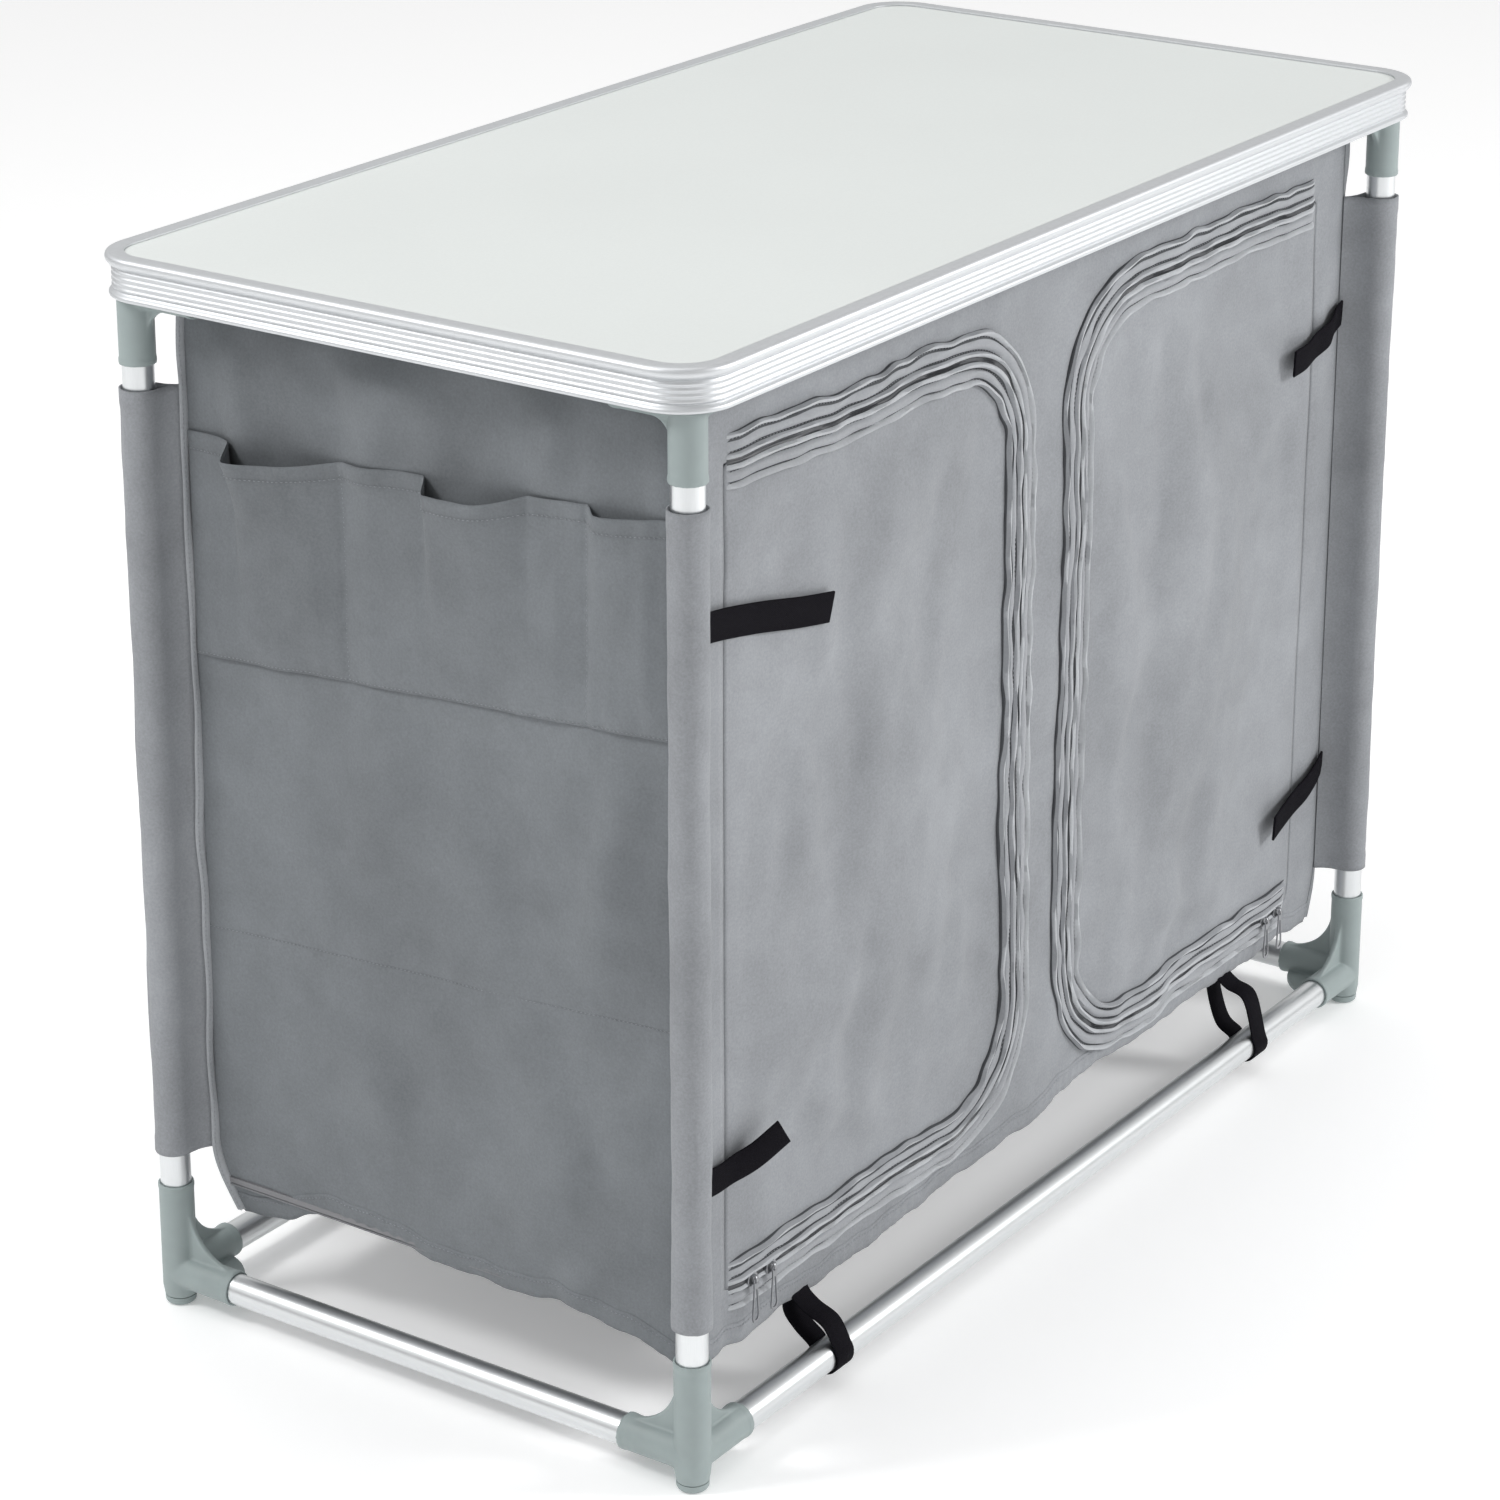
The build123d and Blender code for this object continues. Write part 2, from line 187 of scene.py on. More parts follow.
def cut_sheet(name, u_range, v_range, step, outline, place, material):
    """Grid of cloth cut to outline(u, v) < 0; border points are pulled onto the outline."""
    us = np.arange(u_range[0] - step, u_range[1] + 2 * step, step)
    vs = np.arange(v_range[0] - step, v_range[1] + 2 * step, step)
    u, v = np.meshgrid(us, vs, indexing="ij")
    middle = outline(u[:-1, :-1] + step / 2, v[:-1, :-1] + step / 2) < 0
    around = np.zeros((len(us) + 1, len(vs) + 1), int)
    around[1:-1, 1:-1] = middle
    count = around[:-1, :-1] + around[1:, :-1] + around[:-1, 1:] + around[1:, 1:]
    border, probe = (count > 0) & (count < 4), step / 20
    for _ in range(3):
        d = outline(u, v)
        gu = (outline(u + probe, v) - d) / probe
        gv = (outline(u, v + probe) - d) / probe
        size = np.maximum(gu ** 2 + gv ** 2, 0.25)
        u = np.where(border, u - d * gu / size, u)
        v = np.where(border, v - d * gv / size, v)
    number = -np.ones(u.shape, int)
    number[count > 0] = np.arange(int((count > 0).sum()))
    points = place(u[count > 0], v[count > 0])
    i, j = np.nonzero(middle)
    faces = np.stack([number[i, j], number[i + 1, j], number[i + 1, j + 1], number[i, j + 1]], 1)
    return new_object(name, points, faces, material, 60)


def sweep(name, path, across, up, profile, material, loop=False, tube=False, angle=50):
    """Profile of (across, up) offsets carried along a path; tube closes the profile on itself."""
    profile = np.array(profile, float)
    points = (path[:, None, :] + across[:, None, :] * profile[None, :, :1]
              + up[:, None, :] * profile[None, :, 1:]).reshape(-1, 3)
    rows, columns = len(path), len(profile)
    faces = grid_faces(rows, columns, loop, tube)
    if tube and not loop:
        faces += [tuple(range(columns)), tuple(reversed(range((rows - 1) * columns, rows * columns)))]
    return new_object(name, points, faces, material, angle)


def resample(points, step):
    """Evenly spaced points along a polyline."""
    points = np.array(points, float)
    run = np.concatenate([[0], np.cumsum(np.linalg.norm(np.diff(points, axis=0), axis=1))])
    at = np.linspace(0, run[-1], max(2, int(round(run[-1] / step)) + 1))
    return np.stack([np.interp(at, run, points[:, k]) for k in range(points.shape[1])], 1)


def smooth_curve(points, step):
    """Evenly spaced points on a Catmull-Rom curve through a few given points."""
    p = np.array(points, float)
    p = np.vstack([2 * p[0] - p[1], p, 2 * p[-1] - p[-2]])
    t = np.linspace(0, 1, 24, endpoint=False)[:, None]
    out = []
    for a, b, c, d in zip(p, p[1:], p[2:], p[3:]):
        out.append(0.5 * (2 * b + (c - a) * t + (2 * a - 5 * b + 4 * c - d) * t ** 2
                          + (3 * b - a - 3 * c + d) * t ** 3))
    return resample(np.vstack(out + [p[-2:-1]]), step)


def directions(path):
    tangent = np.gradient(path, axis=0)
    return tangent / np.maximum(np.linalg.norm(tangent, axis=1), 1e-9)[:, None]


def stitches(name, path, normal, material, pitch=3.4 * MM, length=2.3 * MM, width=0.34 * MM):
    """Row of sewn stitches: each one is a small raised lozenge of thread."""
    path = resample(path, pitch)
    normals = np.tile(np.array(normal, float), (len(path), 1))
    along = directions(path)
    side = np.cross(along, normals)
    ends = along * length / 2
    corners = [-ends, side * width, normals * width * 1.5, -side * width, -normals * width, ends]
    points = np.stack([path + c for c in corners], 1).reshape(-1, 3)
    pattern = [(0, 2, 1), (0, 3, 2), (0, 4, 3), (0, 1, 4), (5, 1, 2), (5, 2, 3), (5, 3, 4), (5, 4, 1)]
    faces = [tuple(6 * n + k for k in f) for n in range(len(path)) for f in pattern]
    return new_object(name, points, faces, material, 180)


# ---- Materials ------------------------------------------------------------------------------
class Nodes:
    """Short names for building a procedural material."""

    def __init__(self, name, color, roughness, metallic=0.0, sheen=0.0):
        self.material = bpy.data.materials.new(name)
        self.material.use_nodes = True
        self.tree = self.material.node_tree
        self.shader = self.tree.nodes["Principled BSDF"]
        self.set(self.shader, **{"Base Color": (*color, 1), "Roughness": roughness,
                                 "Metallic": metallic, "Sheen Weight": sheen})
        self.coords = self.add("ShaderNodeTexCoord").outputs["Object"]

    def add(self, kind, **values):
        node = self.tree.nodes.new(kind)
        self.set(node, **values)
        return node

    @staticmethod
    def set(node, **values):
        for key, value in values.items():
            if key in node.inputs:
                node.inputs[key].default_value = value
            else:
                setattr(node, key, value)

    def link(self, a, b):
        self.tree.links.new(a, b)

    def noise(self, scale, detail=4.0, roughness=0.55, stretch=None):
        node = self.add("ShaderNodeTexNoise", Scale=scale, Detail=detail, Roughness=roughness)
        source = self.coords
        if stretch:
            mapping = self.add("ShaderNodeMapping", Scale=stretch)
            self.link(self.coords, mapping.inputs["Vector"])
            source = mapping.outputs["Vector"]
        self.link(source, node.inputs["Vector"])
        return node.outputs["Fac"]

    def wave(self, period, direction):
        """Stripes across a direction in space, one each period metres."""
        dot = self.add("ShaderNodeVectorMath", operation="DOT_PRODUCT")
        self.link(self.coords, dot.inputs[0])
        dot.inputs[1].default_value = direction
        turns = self.math("MULTIPLY", dot.outputs["Value"], 2 * math.pi / period)
        return self.math("SINE", turns, 0.0)

    def math(self, operation, a, b):
        node = self.add("ShaderNodeMath", operation=operation)
        for socket, value in zip(node.inputs, (a, b)):
            if isinstance(value, (int, float)):
                socket.default_value = value
            else:
                self.link(value, socket)
        return node.outputs[0]

    def blend(self, a, share_a, b, share_b):
        return self.math("ADD", self.math("MULTIPLY", a, share_a), self.math("MULTIPLY", b, share_b))

    def color_from(self, factor, dark, light, low=0.3, high=0.7):
        ramp = self.add("ShaderNodeValToRGB")
        for stop, place, color in zip(ramp.color_ramp.elements, (low, high), (dark, light)):
            stop.position, stop.color = place, (*color, 1)
        self.link(factor, ramp.inputs["Fac"])
        self.link(ramp.outputs["Color"], self.shader.inputs["Base Color"])

    def roughness_from(self, factor, low, high):
        node = self.add("ShaderNodeMapRange", **{"To Min": low, "To Max": high})
        self.link(factor, node.inputs["Value"])
        self.link(node.outputs["Result"], self.shader.inputs["Roughness"])

    def bump(self, height, distance, strength=1.0):
        node = self.add("ShaderNodeBump", Distance=distance, Strength=strength)
        self.link(height, node.inputs["Height"])
        self.link(node.outputs["Normal"], self.shader.inputs["Normal"])


def shades(color, spread):
    return [tuple(c * (1 + s) for c in color) for s in (-spread, spread)]


def fabric_material(name, color, spread=0.22, sheen=0.10, period=0.9 * MM):
    n = Nodes(name, color, 0.78, sheen=sheen)
    # Broad cloud tone: partly the cloth's own uneven tone, partly painted light and shade standing in for
    # soft folds.
    cloud = n.blend(n.noise(5.0, 3, 0.5), 0.6, n.noise(24, 5, 0.65), 0.4)
    grain = n.noise(520, 3, 0.7)
    n.color_from(n.blend(cloud, 0.68, grain, 0.32), *shades(color, spread), 0.36, 0.64)
    warp = n.wave(period, (1, 1, 0))
    weft = n.wave(period, (0, 0, 1))
    n.bump(n.blend(n.math("MULTIPLY", warp, weft), 0.5, grain, 1.2), 0.12 * MM, 0.55)
    n.roughness_from(cloud, 0.70, 0.86)
    n.set(n.shader, **{"Sheen Roughness": 0.45, "Specular IOR Level": 0.35})
    return n.material


def metal_material(name, color, roughness, stretch, depth=0.008 * MM):
    """Anodised aluminium with fine drawing lines that run where stretch is small."""
    n = Nodes(name, color, roughness, metallic=1.0)
    lines = n.noise(220, 3, 0.6, stretch)
    n.roughness_from(lines, roughness - 0.05, roughness + 0.05)
    n.color_from(lines, *shades(color, 0.03), 0.3, 0.7)
    n.bump(lines, depth, 0.25)
    return n.material


def plastic_material(name, color, roughness):
    n = Nodes(name, color, roughness)
    cloud = n.noise(40, 4)
    n.color_from(cloud, *shades(color, 0.05))
    n.bump(n.noise(1600, 2), 0.05 * MM, 0.5)
    n.roughness_from(cloud, roughness - 0.05, roughness + 0.08)
    return n.material


def board_material():
    color = (0.636, 0.662, 0.648)
    n = Nodes("board_laminate", color, 0.46)
    speckle = n.noise(520, 3, 0.7)
    cloud = n.noise(5, 3, 0.5)
    n.color_from(n.blend(speckle, 0.6, cloud, 0.4), *shades(color, 0.022), 0.35, 0.65)
    n.bump(speckle, 0.05 * MM, 0.4)
    n.roughness_from(cloud, 0.40, 0.52)
    return n.material


def webbing_material():
    n = Nodes("webbing_black", (0.008, 0.0075, 0.0095), 0.85, sheen=0.0)
    n.set(n.shader, **{"Specular IOR Level": 0.06})
    ribs = n.math("MULTIPLY", n.wave(1.5 * MM, (1, 1, 0)), n.wave(1.3 * MM, (0, 0, 1)))
    fuzz = n.noise(1500, 3, 0.7)
    n.color_from(fuzz, (0.004, 0.0036, 0.005), (0.013, 0.012, 0.016), 0.35, 0.7)
    n.bump(n.math("ADD", n.math("MULTIPLY", ribs, 0.5), fuzz), 0.35 * MM, 0.8)
    return n.material


# The end grey is partly the ends' own darker cloth and partly painted shade, darker than the front because
# of how the light falls on the ends.
FRONT_GREY, END_GREY_WITH_SHADE = (0.272, 0.283, 0.300), (0.164, 0.177, 0.189)
FABRIC = fabric_material("fabric_grey", FRONT_GREY)
FABRIC_END_WITH_SHADE = fabric_material("fabric_dark_grey_with_painted_shade", END_GREY_WITH_SHADE)
TAPE = fabric_material("zip_tape_grey", (0.325, 0.336, 0.355), 0.13, 0.15, 0.7 * MM)
# Darker and lighter copies of the tape grey: painted shade for the zip's grooves, painted highlight for its
# raised folds.
GROOVE_PAINTED_SHADE = fabric_material("zip_groove_painted_shade", (0.085, 0.089, 0.096), 0.12, 0.0, 0.7 * MM)
RIDGE_PAINTED_HIGHLIGHT = fabric_material("zip_ridge_painted_highlight", (0.44, 0.455, 0.475), 0.13, 0.15, 0.7 * MM)
# Lighter than the panel fabric: painted highlight along the raised corner binding.
PIPING_WITH_HIGHLIGHT = fabric_material("piping_grey_painted_highlight", (0.37, 0.385, 0.405), 0.16, 0.15, 0.7 * MM)
COIL = plastic_material("zip_coil_dark", (0.060, 0.063, 0.069), 0.42)
LINING = fabric_material("lining_grey", (0.20, 0.205, 0.215))
THREAD = fabric_material("thread_grey", (0.30, 0.31, 0.33), 0.05, 0.2, 0.5 * MM)
WEBBING = webbing_material()
FRONT_FINISH, END_FINISH = (FABRIC, "fabric_front"), (FABRIC_END_WITH_SHADE, "fabric_end")
BOARD = board_material()
RIM = metal_material("rim_aluminium", (0.645, 0.660, 0.675), 0.48, (1, 1, 18))
TUBE_UP, TUBE_X, TUBE_Y = (
    metal_material(f"tube_aluminium_{name}", (0.73, 0.748, 0.756), 0.33, stretch)
    for name, stretch in (("upright", (14, 14, 0.4)), ("long", (0.4, 14, 14)), ("short", (14, 0.4, 14))))
MOULDING = plastic_material("moulding_grey_green", (0.292, 0.342, 0.340), 0.50)
STIFFENER = plastic_material("stiffener_grey", (0.20, 0.20, 0.21), 0.5)
NICKEL = metal_material("nickel_plate", (0.33, 0.335, 0.35), 0.36, (1, 1, 1))


def paint(node, material):
    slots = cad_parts[node].data.materials
    slots.clear()
    slots.append(material)


# ---- Worktop --------------------------------------------------------------------------------
def rounded_rectangle(half_x, half_y, radius, turns=20):
    """Points and outward directions round a rounded rectangle."""
    points, outward = [], []
    for number, (sx, sy) in enumerate(((1, 1), (-1, 1), (-1, -1), (1, -1))):
        for a in np.linspace(0, math.pi / 2, turns + 1) + number * math.pi / 2:
            points.append((sx * (half_x - radius) + radius * math.cos(a),
                           sy * (half_y - radius) + radius * math.sin(a)))
            outward.append((math.cos(a), math.sin(a)))
    return np.array(points), np.array(outward)


def build_rim():
    """Extruded edge: rounded top flange, four ribs, and a rolled lower lip."""
    top, low = rim_high.z / MM, rim_low.z / MM
    profile = [(13.0, top - 0.5), (12.6, top - 0.1), (12.0, top), (3.6, top), (2.2, top - 0.2),
               (1.1, top - 0.8), (0.35, top - 1.8), (0.0, top - 3.2), (0.1, top - 4.6), (0.7, top - 6.0),
               (1.9, top - 7.3), (3.3, top - 8.2), (4.2, top - 9.0)]
    rib_top, rib_low = top - 9.4, low + 5.4
    for z in np.linspace(rib_top, rib_low, 41):
        wave = math.cos((z - rib_top) / (rib_low - rib_top) * 8 * math.pi)
        profile.append((4.25 + 0.42 * wave, z))
    profile += [(4.3, low + 4.9), (3.6, low + 4.2), (2.5, low + 3.6), (1.9, low + 2.7), (1.8, low + 1.6),
                (2.1, low + 0.6), (3.0, low), (6.0, low), (6.2, low + 1.2), (6.2, low + 17.8),
                (18.0, low + 17.8), (18.0, low + 19.3), (6.2, low + 19.3), (6.2, top - 1.7),
                (13.0, top - 1.7)]
    points, outward = rounded_rectangle(rim_high.x, rim_high.y, 40 * MM)
    path = np.column_stack([points, np.zeros(len(points))])
    across = np.column_stack([-outward, np.zeros(len(points))])
    up = np.tile((0.0, 0.0, 1.0), (len(points), 1))
    rim = sweep("rim_extrusion", path, across, up, np.array(profile) * MM, RIM, True, True, 38)
    attach(rim, "table_top", "rim", "table_rim")


# ---- Corner mouldings -----------------------------------------------------------------------
def moulded_copy(node, voxel=0.95 * MM):
    """CAD moulding with its edges and inner corners softened, as an injection mould leaves them."""
    source = in_scene("softened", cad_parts[node].data.copy())
    remesh = source.modifiers.new("remesh", "REMESH")
    remesh.mode, remesh.voxel_size = "VOXEL", voxel
    soften = source.modifiers.new("soften", "SMOOTH")
    soften.factor, soften.iterations = 0.5, 3
    thin = source.modifiers.new("thin", "DECIMATE")
    thin.ratio = 0.35
    bpy.context.view_layer.update()
    mesh = bpy.data.meshes.new_from_object(source.evaluated_get(bpy.context.evaluated_depsgraph_get()))
    bpy.data.objects.remove(source)
    return mesh


def build_mouldings():
    for height in ("lower", "upper"):
        base = moulded_copy(f"{height}_connector_front_left")
        for name, (sx, sy) in CORNERS.items():
            mesh = base.copy()
            mesh.transform([[-sx, 0, 0, 0], [0, -sy, 0, 0], [0, 0, 1, 0], [0, 0, 0, 1]])
            piece = in_scene(f"{height}_corner_{name}", mesh)
            shade(piece, 55)
            mesh.materials.clear()
            mesh.materials.append(MOULDING)
            attach(piece, "frame", "moulding", f"{height}_connector_{name}")


# ---- Cupboard fabric ------------------------------------------------------------------------
# Below the sleeves the cupboard's corners are free and draw inwards, each by its own amount.
TUCK_Z = 0.130
TUCK = {(-1, -1): 0.006, (1, -1): 0.007, (-1, 1): 0.014, (1, 1): 0.010}
# Height of the hem above the ground at places along each panel, in metres.
HEMS = {
    "front": ((-0.444, 0.064), (-0.408, 0.062), (-0.330, 0.063), (-0.265, 0.060), (-0.200, 0.064),
              (-0.130, 0.066), (-0.058, 0.070), (0.010, 0.078), (0.082, 0.083), (0.150, 0.081),
              (0.231, 0.077), (0.280, 0.079), (0.329, 0.075), (0.380, 0.078), (0.422, 0.076),
              (0.444, 0.074)),
    "back": ((-0.444, 0.068), (-0.330, 0.064), (-0.200, 0.071), (-0.060, 0.080), (0.060, 0.076),
             (0.190, 0.081), (0.310, 0.070), (0.400, 0.073), (0.444, 0.070)),
    "left": ((-0.204, 0.067), (-0.192, 0.074), (-0.150, 0.085), (-0.105, 0.089), (-0.070, 0.085),
             (-0.038, 0.083), (0.031, 0.088), (0.070, 0.094), (0.100, 0.096), (0.140, 0.082),
             (0.173, 0.069), (0.204, 0.066)),
    "right": ((-0.204, 0.073), (-0.140, 0.081), (-0.060, 0.086), (0.020, 0.083), (0.100, 0.090),
              (0.160, 0.078), (0.204, 0.070))}


def tuck(points):
    """Draw the points below the sleeves inwards, blending between the four corners."""
    t = np.clip((TUCK_Z - points[:, 2]) / (TUCK_Z - HEM_Z), 0, 1.2)
    t = t * t * (1.4 - 0.4 * t)
    wx, wy = unit((points[:, 0] / BOX_X + 1) / 2), unit((points[:, 1] / BOX_Y + 1) / 2)
    pull = sum(TUCK[sx, sy] * (wx if sx > 0 else 1 - wx) * (wy if sy > 0 else 1 - wy) for sx, sy in TUCK)
    points[:, 0] *= 1 - t * pull / BOX_X
    points[:, 1] *= 1 - t * pull / BOX_Y
    return points


def hem_height(panel, u):
    """Lower edge of a panel: listed heights with a little waviness."""
    at, height = np.array(HEMS[panel]).T
    span = (at[-1] - at[0]) / 240
    fine = np.interp(np.linspace(at[0], at[-1], 241), at, height)
    kernel = np.hanning(2 * int(0.03 / span) + 1)
    padded = np.pad(fine, len(kernel) // 2, mode="edge")
    fine = np.convolve(padded, kernel / kernel.sum(), "valid")
    low = np.interp(u, np.linspace(at[0], at[-1], 241), fine)
    return low + 0.0013 * np.sin(u * 87 + len(panel)) + 0.0007 * np.sin(u * 190 + 1.3)


def door_distance(side, u, v):
    """Distance outside the door's outline: square at the hinge, rounded at its inner corners."""
    su = side * u
    cu, cv = (HINGE_X + DOOR_INNER) / 2, (DOOR_LOW + DOOR_HIGH) / 2
    radius = np.where(su < cu, DOOR_R, 1 * MM)
    qu = np.abs(su - cu) - (HINGE_X - DOOR_INNER) / 2 + radius
    qv = np.abs(v - cv) - (DOOR_HIGH - DOOR_LOW) / 2 + radius
    return np.hypot(np.maximum(qu, 0), np.maximum(qv, 0)) + np.minimum(np.maximum(qu, qv), 0) - radius


FRONT_WAVES = ripples(11, 0.11, 0.34, 22, 1.7)
MID_WAVES = ripples(13, 0.045, 0.11, 26, 1.5)
FINE_WAVES = ripples(12, 0.014, 0.045, 26, 1.3)
# Soft folds of the whole front: start, end, width and height, in metres and mm.
FRONT_FOLDS = (((-0.43, 0.60), (-0.30, 0.70), 0.020, 3.2), ((-0.43, 0.30), (-0.33, 0.12), 0.022, 2.6),
               ((0.02, 0.12), (0.00, 0.68), 0.016, 2.2), ((-0.04, 0.09), (0.05, 0.19), 0.014, 2.4),
               ((-0.20, 0.07), (-0.08, 0.15), 0.016, 2.6), ((0.10, 0.08), (0.22, 0.13), 0.014, 2.2),
               ((0.40, 0.56), (0.43, 0.70), 0.012, 2.6), ((0.41, 0.10), (0.43, 0.30), 0.012, 2.4))


def swell(u, v, base, *layers):
    """Rise of slack cloth in mm: a base, and layers of (size, waves)."""
    return sum((size * waves(u, v) for size, waves in layers), base)


def edge_fade(u, v, half, width):
    """0 at the side and top edges of a panel, 1 away from them."""
    return unit((half - np.abs(u)) / width) * unit((BOX_TOP - v) / 0.02)


def outward(soft):
    """Keep slack fabric from sinking into the layers behind it, without a hard edge (mm)."""
    return 0.5 * (soft + np.sqrt(soft ** 2 + 9.0)) - 0.8


def front_offset(u, v, slack=0.0):
    """How far the front fabric stands out of its plane; slack adds a door's own folds, in mm."""
    soft = swell(u, v, 1.0, (4.4, FRONT_WAVES), (1.6, MID_WAVES), (0.30, FINE_WAVES))
    soft = add_folds(soft, u, v, FRONT_FOLDS)
    hinge = 1 - 0.75 * bell(np.abs(u) - HINGE_X, 0.009)
    return edge_fade(u, v, BOX_X, 0.035) * hinge * outward(soft + slack) * MM


def on_front(u, v, out, slack=0.0):
    return tuck(np.stack([u, FRONT_Y - front_offset(u, v, slack) - out, v], 1))


def hung_panel(name, panel, half, step, place, finish, node, **sheet):
    """One side of the cupboard, from its top edge to its wavy hem; the front has its two openings."""
    openings = SIDES.values() if panel == "front" else ()

    def outline(u, v):
        inside = np.maximum(np.maximum(np.abs(u) - half, v - BOX_TOP), hem_height(panel, u) - v)
        for side in openings:
            inside = np.maximum(inside, -door_distance(side, u, v) + 0.5 * MM)
        return inside
    piece = cut_sheet(name, (-half, half), (HEM_Z - 0.004, BOX_TOP), step, outline,
                      lambda u, v: place(u, v, INSET), finish[0])
    solidify(piece, CLOTH)
    attach(piece, "frame", finish[1], node)


def build_front_panel():
    hung_panel("front_fabric", "front", BOX_X, 5 * MM, on_front, FRONT_FINISH, "front_panel",
               flat=(0.888, 0.675), area=0.185,
               rests_on=["leg_sleeve_fabric_front_left", "leg_sleeve_fabric_front_right"])


# Folds of each door, where it hangs slack between its zip and its hinge seam.
DOOR_FOLDS = {
    -1: (((0.36, 0.52), (0.10, 0.66), 0.060, 5.0), ((0.22, 0.14), (0.20, 0.56), 0.055, 5.5),
         ((0.085, 0.20), (0.075, 0.66), 0.022, -4.0), ((0.37, 0.58), (0.24, 0.44), 0.026, -3.4),
         ((0.38, 0.24), (0.24, 0.30), 0.030, 4.0), ((0.38, 0.12), (0.20, 0.18), 0.022, -3.2),
         ((0.30, 0.22), (0.16, 0.12), 0.020, 3.0), ((0.14, 0.14), (0.12, 0.32), 0.026, 3.2),
         ((0.33, 0.60), (0.30, 0.36), 0.018, 2.4), ((0.15, 0.64), (0.17, 0.46), 0.020, -2.6)),
    1: (((0.10, 0.66), (0.16, 0.44), 0.030, -4.2), ((0.20, 0.16), (0.24, 0.62), 0.060, 6.0),
        ((0.36, 0.62), (0.33, 0.22), 0.026, -4.4), ((0.38, 0.56), (0.28, 0.48), 0.020, 3.2),
        ((0.09, 0.30), (0.10, 0.56), 0.026, 3.6), ((0.30, 0.14), (0.14, 0.20), 0.022, 3.0),
        ((0.38, 0.19), (0.26, 0.24), 0.018, -2.6), ((0.16, 0.62), (0.30, 0.66), 0.018, 2.2))}


def door_shape(side, u, v):
    """Extra folds of one door, fading out towards its edges."""
    inside = smooth((-door_distance(side, u, v) - 0.014) / 0.05)
    out = add_folds(0, side * u, v, DOOR_FOLDS[side])
    return inside * (2.1 * out + 2.0 * MID_WAVES(u * 1.3 + 0.4, v))


def build_doors():
    for name, side in SIDES.items():
        def place(u, v, side=side):
            return on_front(u, v, INSET, door_shape(side, u, v))

        def outline(u, v, side=side):
            return door_distance(side, u, v) + 0.3 * MM
        sheet = cut_sheet(f"door_fabric_{name}", sorted((side * DOOR_INNER, side * HINGE_X)),
                          (DOOR_LOW, DOOR_HIGH), 4.5 * MM, outline, place, FABRIC)
        solidify(sheet, CLOTH)
        attach(sheet, f"door_{name}", "fabric_front", f"door_{name}")


def door_path(side, start_x=0.395):
    """Line of the zip, from the hinge end of the top run round to the hinge end of the bottom run."""
    r = DOOR_R
    top = [(start_x, DOOR_HIGH), (DOOR_INNER + r, DOOR_HIGH)]
    bend = np.linspace(0, math.pi / 2, 24)[1:]
    upper = [(DOOR_INNER + r - r * math.sin(a), DOOR_HIGH - r + r * math.cos(a)) for a in bend]
    lower = [(DOOR_INNER + r - r * math.cos(a), DOOR_LOW + r - r * math.sin(a)) for a in bend]
    path = resample(top + upper + [(DOOR_INNER, DOOR_LOW + r)] + lower + [(start_x, DOOR_LOW)], ZIP_STEP)
    path[:, 0] *= side
    along = directions(path)
    outward = np.stack([along[:, 1], -along[:, 0]], 1) * -side
    return path, outward


ZIP_STEP = 1.6 * MM
ZIP_SWAY, ZIP_FINE = ripples(21, 0.11, 0.30, 14), ripples(22, 0.020, 0.055, 18)
ZIP_PUCKER = ripples(23, 0.026, 0.075, 20)


def zip_line(side, sign, offset, height):
    """3-D line beside the zip, at an offset in mm to its door (-) or panel (+) side."""
    path, outward = door_path(side)
    run = np.arange(len(path)) * ZIP_STEP
    from_end = np.minimum(run, run[-1] - run)
    ends = unit(from_end / 0.05)
    sway = 2.4 * ZIP_SWAY(run, side * 3.0) + 0.45 * ZIP_FINE(run, side)
    far = offset / 19.0
    edge = far ** 2 * (1.3 * ZIP_PUCKER(run, side * 5.0 + sign) + 0.5 * ZIP_FINE(run, sign * 2.0))
    at = path + outward * ((sign * (offset + ends * edge) + ends * sway) * MM)[:, None]
    lift = 0.9 * ZIP_PUCKER(run, side * 2.0 + offset * 0.05) + 0.35 * ZIP_FINE(run, offset * 0.04)
    settle = unit(from_end / 0.012) ** 0.7
    height = settle * (1.22 * height + ends * lift * min(1.0, height / 2 + 0.3)) - (1 - settle) * 1.2
    return on_front(at[:, 0], at[:, 1], height * MM)


# Cross-section of one half of a zip, from the coil outwards: offset and height in mm. The tape is
# folded back beside the coil, sewn down along a groove, and turned under along a raised edge.
ZIP_COIL = ((0.15, 0.2), (0.15, 1.5), (0.7, 2.0), (1.5, 1.8), (2.0, 0.6))
ZIP_TAPE = {
    "door": ((1.7, 0.7), (2.0, 2.4), (2.9, 3.6), (4.2, 3.3), (5.0, 1.6), (5.6, 0.2), (6.6, 0.4),
             (7.6, 1.9), (10.5, 2.4), (13.2, 1.9), (14.2, 0.3), (15.2, 0.4), (16.2, 2.6), (17.8, 3.1),
             (18.8, 1.2), (19.0, -0.8)),
    "panel": ((1.7, 0.7), (2.1, 2.6), (3.2, 3.9), (4.8, 3.6), (5.7, 1.8), (6.4, 0.2), (7.4, 0.4),
              (8.4, 2.0), (11.0, 2.5), (13.2, 1.9), (14.2, 0.3), (15.1, 0.5), (16.1, 3.0), (17.6, 3.7),
              (18.8, 1.5), (19.1, -0.8))}
# Which strips of the tape lie in a groove or on a raised fold, counted from the coil. The groove strips
# take painted shade and the raised fold strips take a painted highlight.
SHADE_PAINTED_STRIPS, HIGHLIGHT_PAINTED_STRIPS = (0, 4, 5, 9, 10, 14), (1, 2, 11, 12)
ZIP_SEAMS = {"door": (6.1, 14.7), "panel": (6.9, 14.7)}


